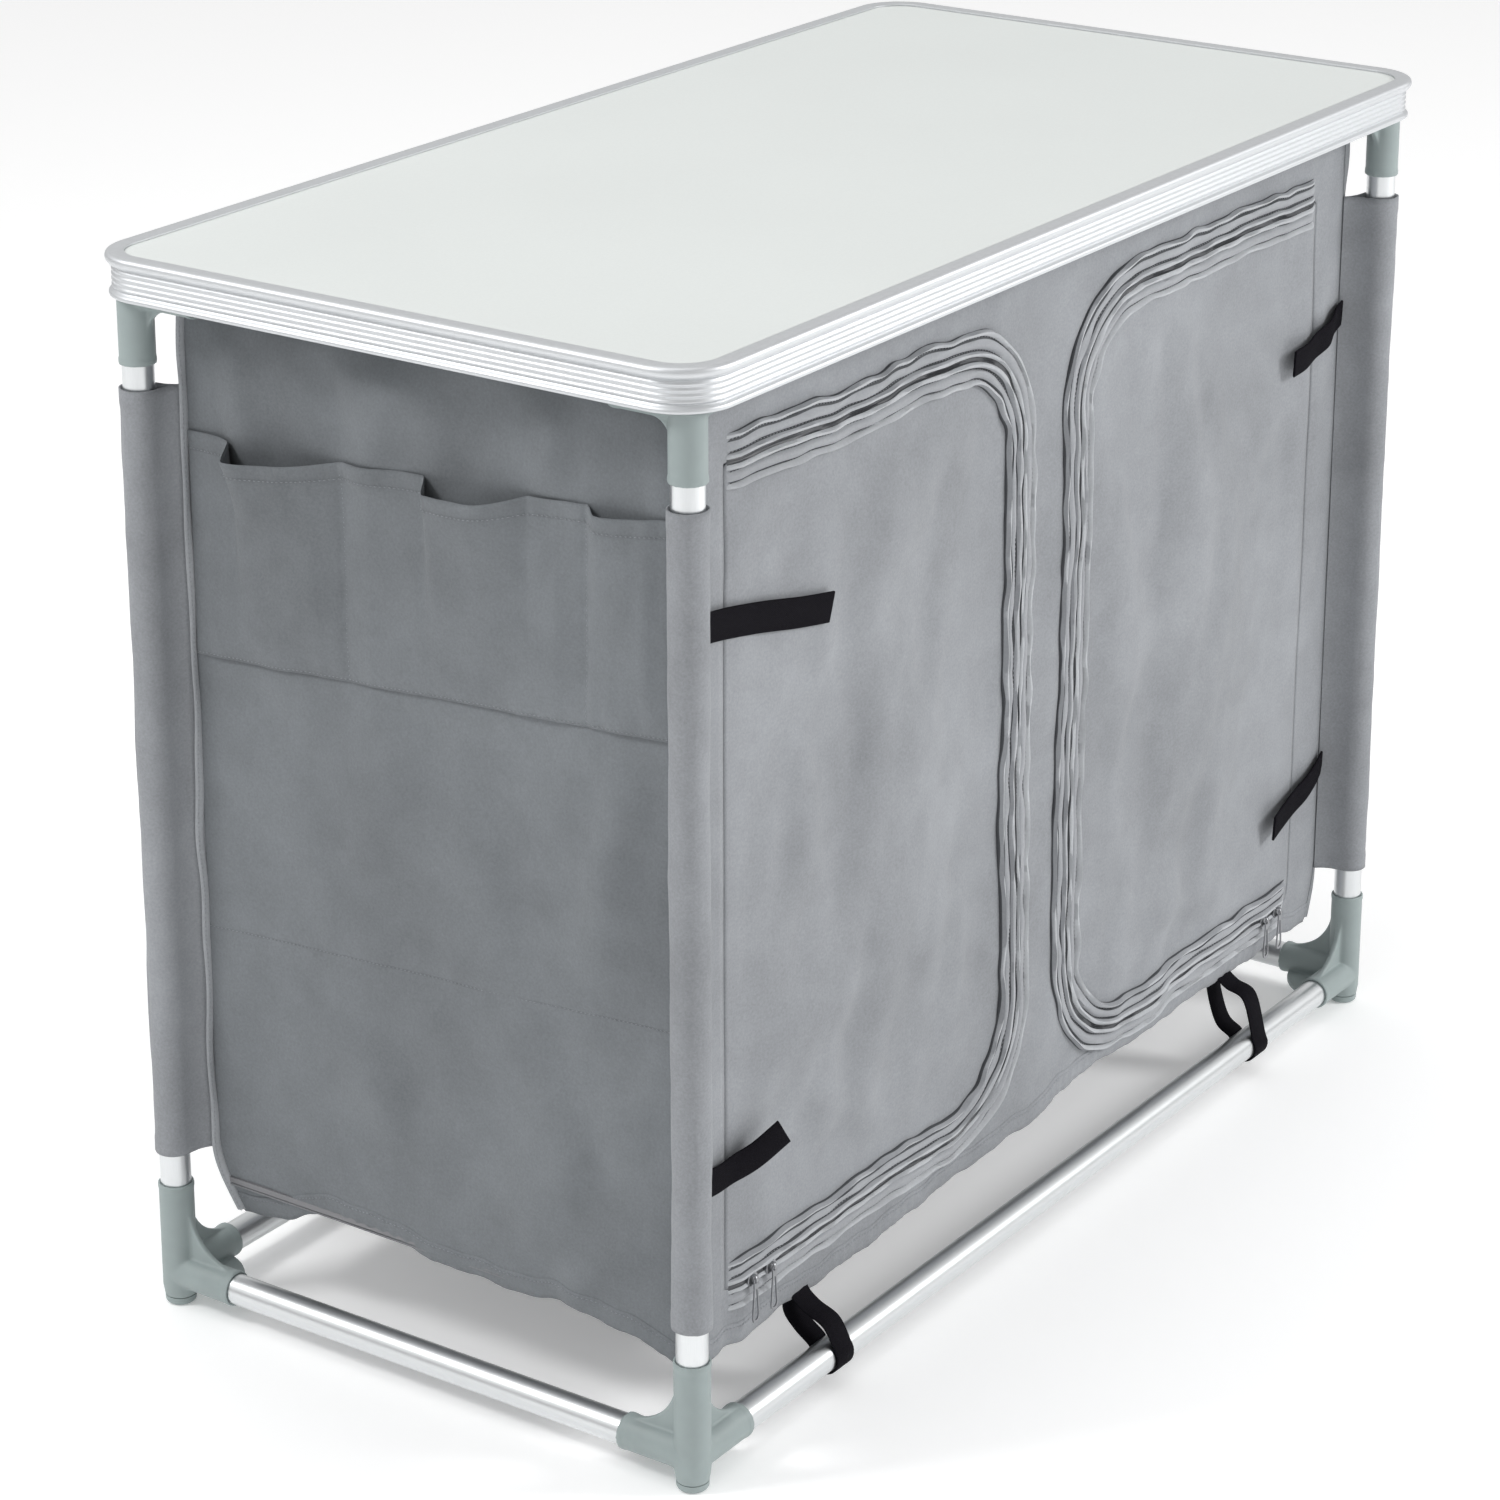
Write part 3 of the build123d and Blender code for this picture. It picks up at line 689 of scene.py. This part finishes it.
def build_zips():
    for name, side in SIDES.items():
        for half, sign, body in (("panel", 1, "frame"), ("door", -1, f"door_{name}")):
            for kind, profile, material in (("tape", ZIP_TAPE[half], TAPE), ("coil", ZIP_COIL, COIL)):
                points = np.stack([zip_line(side, sign, a, h) for a, h in profile], 1)
                if kind == "coil":
                    points[:, 1:4, 1] -= 0.30 * MM * (np.arange(len(points)) % 2)[:, None]
                piece = skin(f"zip_{kind}_{half}_{name}", points, material, 75)
                solidify(piece, 0.3 * MM, 1)
                nodes = [f"zip_{half}_half_{name}"] if kind == "tape" else []
                attach(piece, body, "zip_tape", *nodes)
                if kind == "tape":
                    # Painted shade on the groove strips and painted highlight on the raised fold strips.
                    piece.data.materials.append(GROOVE_PAINTED_SHADE)
                    piece.data.materials.append(RIDGE_PAINTED_HIGHLIGHT)
                    for number, face in enumerate(piece.data.polygons):
                        strip = number % (points.shape[1] - 1)
                        face.material_index = (strip in SHADE_PAINTED_STRIPS) + 2 * (strip in HIGHLIGHT_PAINTED_STRIPS)
            for row, offset in enumerate(ZIP_SEAMS[half]):
                sewn = stitches(f"zip_stitch_{half}_{name}_{row}", zip_line(side, sign, offset, 1.15),
                                (0, -1, 0), THREAD)
                attach(sewn, body, "zip_tape")


# ---- Ends, back and inner layers ------------------------------------------------------------
def tilt(u):
    """How far the end's cross seams climb, from 0 at the back corner to 1 at the front one."""
    return unit((BOX_Y - u) / (2 * BOX_Y))


SHELF_SEAM, POCKET_SEAM = (0.291, 0.024), (0.494, 0.024)
# Soft folds of the ends: start, end, width and height, in metres and mm.
END_FOLDS = (((0.17, 0.735), (0.13, 0.60), 0.018, 4.6), ((0.09, 0.735), (0.07, 0.66), 0.016, -3.6),
             ((0.02, 0.735), (0.05, 0.64), 0.020, 4.2), ((-0.05, 0.735), (-0.03, 0.65), 0.016, -3.4),
             ((-0.11, 0.735), (-0.10, 0.66), 0.018, 4.2), ((-0.17, 0.730), (-0.16, 0.64), 0.014, -3.6),
             ((-0.16, 0.50), (-0.13, 0.33), 0.020, 3.4), ((0.02, 0.49), (0.06, 0.36), 0.026, 3.2),
             ((0.15, 0.48), (0.10, 0.40), 0.018, -3.0), ((-0.06, 0.47), (-0.08, 0.34), 0.020, -3.0),
             ((-0.18, 0.28), (-0.06, 0.14), 0.024, 4.0), ((0.12, 0.27), (-0.02, 0.14), 0.026, 3.6),
             ((0.17, 0.24), (0.16, 0.10), 0.016, -3.4), ((0.02, 0.28), (0.02, 0.12), 0.020, -2.8),
             ((-0.12, 0.29), (-0.14, 0.16), 0.016, -3.2), ((-0.17, 0.16), (-0.10, 0.09), 0.014, 3.0))


def end_offset(side):
    waves, middle = ripples(31 + side, 0.10, 0.34, 22, 1.3), ripples(36 + side, 0.04, 0.10, 26, 1.4)
    fine = ripples(41 + side, 0.014, 0.045, 24)

    def offset(u, v):
        out = swell(u, v, 1.6, (4.4, waves), (2.0, middle), (0.30, fine))
        for number, (base, rise) in enumerate((SHELF_SEAM, POCKET_SEAM)):
            gap = v - base - rise * tilt(u)
            out = out - 2.0 * bell(gap, 0.0035) - 1.0 * bell(gap, 0.014)
            out = out + 0.7 * bell(gap, 0.020) * np.sin(u * 150 + number + 2 * fine(u, 0.0))
        out = add_folds(out, -side * u, v, END_FOLDS, 2.2)
        return edge_fade(u, v, BOX_Y, 0.03) * (outward(out) - 0.7) * MM
    return offset


END_OFFSETS = {side: end_offset(side) for side in (-1, 1)}


def on_end(side, u, v, out):
    return tuck(np.stack([side * (BOX_X + END_OFFSETS[side](u, v) + out), u, v], 1))


def build_ends():
    for name, side in SIDES.items():
        hung_panel(f"end_fabric_{name}", name, BOX_Y, 5 * MM, partial(on_end, side), END_FINISH,
                   f"end_panel_{name}", flat=(0.408, 0.675),
                   rests_on=[f"leg_sleeve_fabric_front_{name}", f"leg_sleeve_fabric_back_{name}"])
        for number, (base, rise) in enumerate((SHELF_SEAM, POCKET_SEAM)):
            if number and side > 0:
                continue
            u = np.linspace(-BOX_Y + 4 * MM, BOX_Y - 4 * MM, 120)
            line = on_end(side, u, base + rise * tilt(u), 0.3 * MM)
            sewn = stitches(f"end_seam_{name}_{number}", line, (side, 0, 0), THREAD)
            attach(sewn, "frame", "fabric_end")


BACK_WAVES, BACK_MIDDLE = ripples(51, 0.11, 0.40, 24, 1.6), ripples(52, 0.045, 0.11, 26, 1.5)


def on_back(u, v, out):
    soft = swell(u, v, 1.4, (4.0, BACK_WAVES), (1.3, BACK_MIDDLE), (0.28, FINE_WAVES))
    seam = 2.2 * bell(v - SHELF_Z, 0.005) + 2.2 * bell(u, 0.005)
    rise = edge_fade(u, v, BOX_X, 0.035) * outward(soft - seam) * MM
    return tuck(np.stack([u, BOX_Y + rise + out, v], 1))


def build_back():
    hung_panel("back_fabric", "back", BOX_X, 6 * MM, on_back, FRONT_FINISH, "back_panel",
               flat=(0.888, 0.675),
               rests_on=["leg_sleeve_fabric_back_left", "leg_sleeve_fabric_back_right"])


# Cross-section of a hem: height above the cut edge, and how far it stands out, in mm.
HEM_ROWS = ((-0.6, -1.6), (-1.3, -0.4), (-0.9, 0.7), (3.0, 1.1), (9.0, 1.0), (14.5, 0.9), (15.6, 0.2),
            (15.8, -0.6))
HEM_STITCH = 12.6 * MM


def build_hems():
    """Turned hem round each panel's lower edge, with its stitch line, and a piping on each corner."""
    front, end = (BOX_X, 260, FRONT_FINISH), (BOX_Y, 120, END_FINISH)
    for name, place, normal, (half, count, (material, slot)) in (
            ("front", on_front, (0, -1, 0), front), ("back", on_back, (0, 1, 0), front),
            ("left", partial(on_end, -1), (-1, 0, 0), end), ("right", partial(on_end, 1), (1, 0, 0), end)):
        u = np.linspace(-half + 1 * MM, half - 1 * MM, count)
        low = hem_height(name, u)
        pucker = 0.35 * MM * np.sin(u * 2 * math.pi / 0.011) * (0.6 + 0.4 * np.sin(u * 23))
        points = np.stack([place(u, low + a * MM, h * MM + pucker * (h > 0.5)) for a, h in HEM_ROWS], 1)
        hem = skin(f"hem_{name}", points, material, 70)
        line = place(u, low + HEM_STITCH, 1.15 * MM)
        for piece in (hem, stitches(f"hem_stitch_{name}", line, normal, THREAD)):
            attach(piece, "frame", slot)
    for name, (sx, sy) in CORNERS.items():
        low = float(hem_height("front" if sy < 0 else "back", np.array([sx * BOX_X]))[0])
        z = np.arange(low + 2 * MM, BOX_TOP - 1 * MM, 2.5 * MM)
        sway = ripples(61 + sx + 3 * sy, 0.05, 0.16, 16)(z)
        flare = unit((z - sleeve_high.z) / 0.02) + unit((sleeve_low.z - z) / 0.02)
        path = tuck(np.stack([sx * (BOX_X + 2.4 * MM + sway * 0.8 * MM),
                              sy * (BOX_Y - 1.2 * MM + sway * MM), z], 1))
        a = np.linspace(0, 2 * math.pi, 14, endpoint=False)
        ring = np.column_stack([np.cos(a) * 3.4, np.sin(a) * 1.25]) * MM
        lean = np.radians(8 + 16 * ripples(65 + sx + 3 * sy, 0.06, 0.2, 14)(z) + 24 * flare)
        across = np.column_stack([sx * np.cos(lean), sy * np.sin(lean), np.zeros(len(z))])
        up = np.column_stack([-sy * np.sin(lean), sx * np.cos(lean), np.zeros(len(z))])
        binding = sweep(f"corner_binding_{name}", path, across, up, ring, PIPING_WITH_HIGHLIGHT, False, True, 60)
        sewn = stitches(f"corner_stitch_{name}", path + across * 1.4 * MM - up * (sx * sy) * 1.3 * MM,
                        (-sx * 0.1, -sy, 0), THREAD)
        for piece in (binding, sewn):
            attach(piece, "frame", "fabric_front")


def build_inner_layers():
    """Floor, shelf, divider and top of the cupboard."""
    for node, name in (("floor_panel", "floor_fabric"), ("top_panel", "top_fabric"),
                       ("shelf_panels", "shelf_fabric")):
        low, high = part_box(node)
        sag = ripples(71 + len(name), 0.08, 0.3, 16)
        half_x, half_y, z = high.x, high.y, (low.z + high.z) / 2
        depth = 0.5 * MM if node != "top_panel" else 2.0 * MM
        sheet = cut_sheet(name, (-half_x, half_x), (-half_y, half_y), 10 * MM,
                          lambda u, v: np.maximum(np.abs(u) - half_x, np.abs(v) - half_y),
                          lambda u, v: np.stack([u, v, z - depth * (0.5 + 0.5 * sag(u, v))], 1), LINING)
        solidify(sheet, 1.0 * MM)
        attach(sheet, "frame", "liner", node)
    low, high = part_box("divider")
    waves = ripples(81, 0.08, 0.3, 16)
    wall = cut_sheet("divider_fabric", (low.y, high.y), (low.z, high.z), 9 * MM,
                     lambda u, v: np.maximum(np.abs(u) - high.y, np.maximum(low.z - v, v - high.z)),
                     lambda u, v: np.stack([1.2 * MM * waves(u, v), u, v], 1), LINING)
    solidify(wall, 1.2 * MM)
    attach(wall, "frame", "liner", "divider")


# Each mouth stands open from a pleat, at start, to where it meets the end again, at finish.
MOUTHS = ((0.160, 0.128, 0.062, 19.0), (-0.002, -0.046, -0.088, 18.0), (-0.131, -0.146, -0.190, 8.0))
POCKET_Y = BOX_Y - 3 * MM
POCKET_MOUTH, POCKET_DEPTH = (0.653, 0.012), 0.155


def pocket_gape(u):
    """How far the pocket mouths stand open at u, in mm, with each pleat's sharp corner."""
    out = np.zeros_like(u)
    for start, belly, finish, gap in MOUTHS:
        fall = np.sin(unit((u - finish) / (belly - finish)) * math.pi / 2)
        fall = np.where(u > belly, 1 - 0.15 * unit((u - belly) / (start - belly)) ** 2, fall)
        out = np.maximum(out, gap * smooth((start - u) / 0.013) * fall)
    return out


def pocket_point(u, v, extra=0.0):
    """Place of the pocket fabric at (u, v), where v runs from 0 at its seam to 1 at its mouth."""
    gape = pocket_gape(u)
    low = POCKET_SEAM[0] + POCKET_SEAM[1] * tilt(u)
    high = POCKET_MOUTH[0] + POCKET_MOUTH[1] * tilt(u)
    t = unit(v)
    near_seam = np.min([np.abs(u - s) for s in (POCKET_Y, *POCKET_SEAMS[1:-1], -POCKET_Y)], axis=0)
    hold = unit(near_seam / 0.022)
    depth = v * POCKET_DEPTH
    body = hold * (3.2 * np.sin(np.pi * t ** 0.8) + 1.2 * (1 + POCKET_WAVES(u, depth)))
    seam_dip = -0.7 * bell(near_seam, 0.003)
    stand = (gape * t ** 1.7 + body + 0.35 * POCKET_FINE(u, depth) + seam_dip + 1.3) * MM + extra
    height = low + (high - low) * v - gape * 0.42 * t ** 3 * MM
    flat = on_end(-1, u, height, 0.0)
    flat[:, 0] -= stand
    return flat


POCKET_WAVES, POCKET_FINE = ripples(91, 0.05, 0.14, 20, 1.8), ripples(92, 0.014, 0.045, 20, 1.4)


def build_pockets():
    bag = cut_sheet("pocket_fabric", (-POCKET_Y, POCKET_Y), (0, POCKET_DEPTH), 2.6 * MM,
                    lambda u, v: np.maximum(np.abs(u) - POCKET_Y, np.maximum(-v, v - POCKET_DEPTH)),
                    lambda u, v: pocket_point(u, v / POCKET_DEPTH), FABRIC_END_WITH_SHADE)
    solidify(bag, 1.0 * MM)
    attach(bag, "frame", "fabric_end", "pocket_strip")
    u = np.linspace(-POCKET_Y, POCKET_Y, 420)
    rows = ((-0.082, 0.2), (-0.074, 0.65), (-0.04, 0.75), (-0.008, 1.1), (0.004, 0.9), (0.008, 0.0),
            (0.004, -0.8), (-0.02, -0.9))
    points = np.stack([pocket_point(u, np.full_like(u, 1 + a), h * MM) for a, h in rows], 1)
    band = skin("pocket_top_hem", points, FABRIC_END_WITH_SHADE, 70)
    lines = {"top": pocket_point(u, np.full_like(u, 0.93), 1.25 * MM)}
    v = np.linspace(0.01, 0.99, 90)
    for number, seam in enumerate(POCKET_SEAMS[1:-1]):
        lines[f"seam_{number}"] = pocket_point(np.full_like(v, seam), v, 0.55 * MM)
    lines["low"] = pocket_point(u, np.full_like(u, 0.012), 0.7 * MM)
    sewn = [stitches(f"pocket_stitch_{key}", line, (-1, 0, 0), THREAD) for key, line in lines.items()]
    for piece in [band, *sewn]:
        attach(piece, "frame", "fabric_end")


def sleeve_section(z, seed):
    """Closed outline round the leg and out along the flap: one row of points for each height."""
    reach = (LEG_X - BOX_X) * math.sqrt(2)
    radius = 13.3 * MM
    around = np.linspace(math.radians(48), math.radians(312), 34)
    loop = np.column_stack([np.cos(around), np.sin(around)]) * radius
    t = np.linspace(0, 1, 9)[1:]
    lead = radius * math.cos(math.radians(48))
    flap_x = lead + (reach - lead) * t
    flap_y = 1.1 * MM + (radius * math.sin(math.radians(48)) - 1.1 * MM) * (1 - t) ** 2.2
    section = np.vstack([loop, np.column_stack([flap_x, -flap_y]),
                         np.column_stack([flap_x, flap_y])[::-1]])
    kind = np.concatenate([np.ones(len(loop)), 1 - t, (1 - t)[::-1]])
    around_at = np.arctan2(section[:, 1], section[:, 0])
    wave, fine = ripples(seed, 0.05, 0.22, 18), ripples(seed + 1, 0.014, 0.05, 18)
    rows = []
    for height in z:
        swell = 0.55 * wave(around_at * 0.02, height) + 0.22 * fine(around_at * 0.02, height)
        size = 1 + swell * kind * MM / radius
        row = section * size[:, None]
        row[:, 1] += (1 - kind) * 0.7 * MM * wave(0.0, height)
        rows.append(row)
    return np.array(rows)


def build_sleeves():
    for number, (name, (sx, sy)) in enumerate(CORNERS.items()):
        low, high = sleeve_low.z, sleeve_high.z
        z = np.arange(low, high + 1 * MM, 5 * MM)
        rows = sleeve_section(z, 101 + 7 * number)
        hem = np.where((z < low + 0.013) | (z > high - 0.013), 0.45 * MM, 0.0)
        length = np.maximum(np.linalg.norm(rows, axis=2), 1e-6)
        rows *= 1 + (hem[:, None] / length)[..., None] * (length < 16 * MM)[..., None]
        d, p = np.array([-sx, -sy]) / math.sqrt(2), np.array([sy, -sx]) / math.sqrt(2)
        points = []
        for row, height in zip(rows, z):
            xy = np.array([sx * LEG_X, sy * LEG_Y]) + row[:, :1] * d + row[:, 1:] * p
            points.append(np.column_stack([xy, np.full(len(xy), height)]))
        points = np.array(points)
        sleeve = skin(f"leg_sleeve_fabric_{name}", points, FABRIC, 60, True)
        solidify(sleeve, 1.0 * MM, -1)
        attach(sleeve, "frame", "fabric_front", f"leg_sleeve_{name}")


# ---- Straps, loops and zip hardware ---------------------------------------------------------
def band_section(width, thickness):
    """Flat webbing with rounded edges, as (across, up) offsets."""
    w, t = width / 2, thickness / 2
    return [(-w, -t * 0.4), (-w + t * 0.6, -t), (0, -t), (w - t * 0.6, -t), (w, -t * 0.4), (w, t * 0.4),
            (w - t * 0.6, t), (0, t), (-w + t * 0.6, t), (-w, t * 0.4)]


# Route of each strap from the corner seam: x from the middle, height off the fabric, z, in mm.
STRAPS = {
    ("left", "upper"): ((444, 0, 593), (425, 0.3, 590), (398, 0.4, 586), (360, 0.5, 579),
                        (320, 0.5, 571), (288, 0.8, 566)),
    ("left", "lower"): ((444, 0, 206), (430, 0.3, 202), (414, 1.5, 200), (398, 4.5, 202),
                        (381, 10, 208), (362, 18.5, 220)),
    ("right", "upper"): ((444, 0, 592), (430, 1.2, 589), (412, 2.5, 584), (392, 3.0, 579),
                         (372, 4.5, 575), (354, 7.0, 573)),
    ("right", "lower"): ((444, 0, 214), (430, 1.2, 209), (412, 2.5, 203), (392, 3.5, 197),
                         (370, 5.5, 192), (350, 8.5, 189))}
STRAP_SECTION = band_section(22 * MM, 1.9 * MM)


def build_straps():
    for (name, height), route in STRAPS.items():
        side = SIDES[name]
        x, out, z = np.array(route).T * MM
        under = front_offset(side * x, z, door_shape(side, side * x, z))
        points = np.stack([side * x, FRONT_Y - under - 2.4 * MM - out, z], 1)
        path = smooth_curve(points, 2.5 * MM)
        along = directions(path)
        lean = np.array((0, -0.10, 1.0))
        across = lean - along * (along @ lean)[:, None]
        across /= np.linalg.norm(across, axis=1)[:, None]
        out = np.cross(along, across)
        strap = sweep(f"strap_{height}_{name}", path, across, out, STRAP_SECTION, WEBBING, False, True, 60)
        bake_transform(strap)
        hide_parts("strap_anchors", f"door_straps_{name}")


def build_loops():
    """Webbing loops from the hem round the lower long rails."""
    for name, side in SIDES.items():
        for face, sy in (("front", -1), ("back", 1)):
            x = side * LOOP_X
            r = RAIL_R + 1.3 * MM
            y_rail = sy * LEG_Y
            hem = float(hem_height(face, np.array([x]))[0])
            top = [(sy * (BOX_Y + out * MM), hem + rise * MM)
                   for out, rise in ((-7, 12), (-5, 2), (5, -6), (21, -13))]
            turn = [(y_rail + sy * r * math.cos(a), RAIL_Z + r * math.sin(a))
                    for a in np.linspace(math.radians(38), math.radians(-205), 9)]
            back = [(sy * (BOX_Y - 3 * MM), 0.040), (sy * (BOX_Y - 12 * MM), hem - 9 * MM),
                    (sy * (BOX_Y - 10 * MM), hem + 12 * MM)]
            path = smooth_curve([(x, y, z) for y, z in top + turn + back], 2.0 * MM)
            along = directions(path)
            across = np.tile((1.0, 0.0, 0.0), (len(path), 1))
            loop = sweep(f"tube_loop_{face}_{name}", path, across, np.cross(along, across),
                         band_section(LOOP_WIDTH, WEB_THICK), WEBBING, False, True, 60)
            attach(loop, "frame", "webbing", "tube_loops")


def plate(name, outline, thickness, bevel, material, holes=(), scale=1.0):
    """Cast plate in the XZ plane, facing -Y, with bevelled edges and holes of any outline."""
    bm = bmesh.new()
    rings = [[bm.verts.new((x * scale, 0, z * scale)) for x, z in line] for line in (outline, *holes)]
    edges = [bm.edges.new(pair) for ring in rings for pair in zip(ring, ring[1:] + ring[:1])]
    bmesh.ops.triangle_fill(bm, edges=edges, use_beauty=True)
    mesh = bpy.data.meshes.new(name)
    bm.to_mesh(mesh)
    bm.free()
    piece = in_scene(name, mesh)
    solidify(piece, thickness)
    rounded = piece.modifiers.new("bevel", "BEVEL")
    rounded.width, rounded.segments, rounded.limit_method = bevel, 2, "ANGLE"
    mesh.materials.append(material)
    for face in mesh.polygons:
        face.use_smooth = False
    return piece


def ellipse(cx, cz, rx, rz, start, end, count):
    turns = np.radians(np.linspace(start, end, count))
    return [(cx + rx * math.cos(a), cz + rz * math.sin(a)) for a in turns]


def build_hardware():
    for name, place in ((name, place) for name in SIDES for place in ("outer", "inner")):
        key = f"{name}_{place}"
        low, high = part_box(f"zip_slider_{key}")
        cx, cz = (low.x + high.x) / 2, (low.z + high.z) / 2
        length, height = (high.x - low.x) / 2, (high.z - low.z) / 2
        body = plate(f"slider_body_{key}",
                     ellipse(-length * 0.35, 0, length * 0.65, height, 90, 270, 12)
                     + [(0, -height * 0.82), (length * 0.55, -height * 0.95), (length, -height * 0.6),
                        (length, height * 0.6), (length * 0.55, height * 0.95), (0, height * 0.82)],
                     2.8 * MM, 0.7 * MM, NICKEL)
        body.location = (cx, high.y - 1.8 * MM, cz)
        back = high.y - 2.6 * MM
        route = ((back, 3.6), (low.y + 1.2 * MM, 3.0), (low.y, 0.6), (low.y + 0.2 * MM, -1.2), (back, -3.4))
        path = smooth_curve([(cx, y, cz + z * MM) for y, z in route], 0.6 * MM)
        across = np.tile((1.0, 0, 0), (len(path), 1))
        bridge = sweep(f"slider_bridge_{key}", path, across, np.cross(directions(path), across),
                       band_section(3.0 * MM, 0.9 * MM), NICKEL, False, True, 60)
        attach(body, f"slider_{key}", "metal", f"zip_slider_{key}")
        attach(bridge, f"slider_{key}", "metal")
        # The pull tab is drawn in mm, hanging from its pivot.
        tab_low, tab_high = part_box(f"zip_pull_{key}")
        drop = (tab_high.z - tab_low.z) / MM
        eye = ellipse(0, -2.6, 1.3, 1.2, 0, 342, 20)
        slot = ellipse(0, -10, 0.9, 0.9, 0, 180, 9) + ellipse(0, 6.5 - drop, 2.7, 3.6, 180, 360, 12)
        outline = (ellipse(0, -2.6, 2.7, 2.6, 0, 180, 12) + [(-2.3, -6), (-2.2, -9), (-4.0, 6 - drop)]
                   + ellipse(0, 5.4 - drop, 4.1, 5, 185, 355, 14)
                   + [(4.0, 6 - drop), (2.2, -9), (2.3, -6)])
        tab = plate(f"pull_tab_{key}", outline, 1.3 * MM, 0.35 * MM, NICKEL, (eye, slot), MM)
        middle = (tab_low + tab_high) / 2
        tab.location = (middle.x, middle.y, tab_high.z + 0.4 * MM)
        attach(tab, f"pull_{key}", "metal", f"zip_pull_{key}")


# ---- CAD nodes that keep their own shape ----------------------------------------------------
def paint_nodes():
    paint("table_board", BOARD)
    for node in ("corner_rests", "foot_caps"):
        paint(node, MOULDING)
    for node in ("floor_boards", "shelf_boards"):
        paint(node, STIFFENER)
    for name in CORNERS:
        paint(f"leg_{name}", TUBE_UP)
    for height in ("lower", "upper"):
        for name, material in (("front", TUBE_X), ("back", TUBE_X), ("left", TUBE_Y), ("right", TUBE_Y)):
            paint(f"{height}_rail_{name}", material)


# ---- Studio ---------------------------------------------------------------------------------
CAMERA_PLACE = (-2.5586, -1.7153, 1.5480)
CAMERA_YAW, CAMERA_PITCH, LENS, SHIFT_Y = -55.401, 18.868, 106.02, -0.1455


def build_camera():
    data = bpy.data.cameras.new("camera")
    data.lens, data.sensor_width, data.shift_y = LENS, 36, SHIFT_Y
    data.clip_start, data.clip_end = 0.05, 60
    camera = in_scene("camera", data)
    camera.location = CAMERA_PLACE
    camera.rotation_euler = (math.radians(90 - CAMERA_PITCH), 0, math.radians(CAMERA_YAW))
    bpy.context.scene.camera = camera


def area_light(name, place, target, size, power):
    data = bpy.data.lights.new(name, "AREA")
    data.shape, data.size, data.energy = "SQUARE", size, power
    light = in_scene(name, data)
    light.location = place
    light.rotation_euler = (Vector(target) - Vector(place)).to_track_quat("-Z", "Y").to_euler()


# Brightness of the room by height, 0 at the horizon and 1 overhead. A low dark band gives the
# tubes an edge.
SKY = ((0.05, 0.68), (0.09, 0.24), (0.18, 0.20), (0.24, 1.00), (0.45, 0.98), (0.60, 0.66), (0.93, 0.60))


def build_studio():
    area_light("key", (2.0, -3.5, 2.3), (0.0, 0, 0.40), 1.2, 87)
    area_light("top", (-0.4, 0.5, 3.6), (0, 0, 0.7), 2.6, 21)
    area_light("left", (-2.3, 1.6, 2.9), (-0.3, 0, 0.45), 0.8, 46)
    world = bpy.data.worlds.new("studio")
    world.use_nodes = True
    tree = world.node_tree
    coords = tree.nodes.new("ShaderNodeTexCoord")
    split = tree.nodes.new("ShaderNodeSeparateXYZ")
    ramp = tree.nodes.new("ShaderNodeValToRGB")
    tree.links.new(coords.outputs["Generated"], split.inputs[0])
    tree.links.new(split.outputs["Z"], ramp.inputs["Fac"])
    for place, grey in SKY:
        stop = ramp.color_ramp.elements.new(place)
        stop.color = (grey, grey, grey, 1)
    ramp.color_ramp.elements[0].color = (0.80, 0.80, 0.80, 1)
    ramp.color_ramp.elements[-1].color = (0.60, 0.60, 0.60, 1)
    seen = tree.nodes.new("ShaderNodeLightPath")
    mix = tree.nodes.new("ShaderNodeMixRGB")
    mix.inputs["Color2"].default_value = (1, 1, 1, 1)
    tree.links.new(seen.outputs["Is Camera Ray"], mix.inputs["Fac"])
    tree.links.new(ramp.outputs["Color"], mix.inputs["Color1"])
    tree.links.new(mix.outputs["Color"], tree.nodes["Background"].inputs["Color"])
    tree.nodes["Background"].inputs["Strength"].default_value = 0.92
    bpy.context.scene.world = world
    bpy.context.scene.view_settings.view_transform = "Standard"

    material = Nodes("studio_floor", (0.98, 0.98, 0.98), 0.7)
    material.set(material.shader, **{"Emission Color": (1, 1, 1, 1), "Emission Strength": 0.18})
    material.roughness_from(material.noise(3, 2), 0.65, 0.75)
    size, rows = 9.0, 9
    way = np.array([math.sin(math.radians(-CAMERA_YAW)), math.cos(math.radians(-CAMERA_YAW))])
    side = np.array([way[1], -way[0]])
    points = [(*(way * a + side * s), 0.0) for a in np.linspace(-size, size, rows) for s in (-size, size)]
    floor = new_object("studio_floor", points, grid_faces(rows, 2), material.material, 60)


for build in (build_camera, build_studio, build_rim, build_mouldings, build_front_panel, build_doors,
              build_zips, build_ends, build_back, build_hems, build_inner_layers, build_pockets,
              build_sleeves, build_straps, build_loops, build_hardware, paint_nodes):
    build()
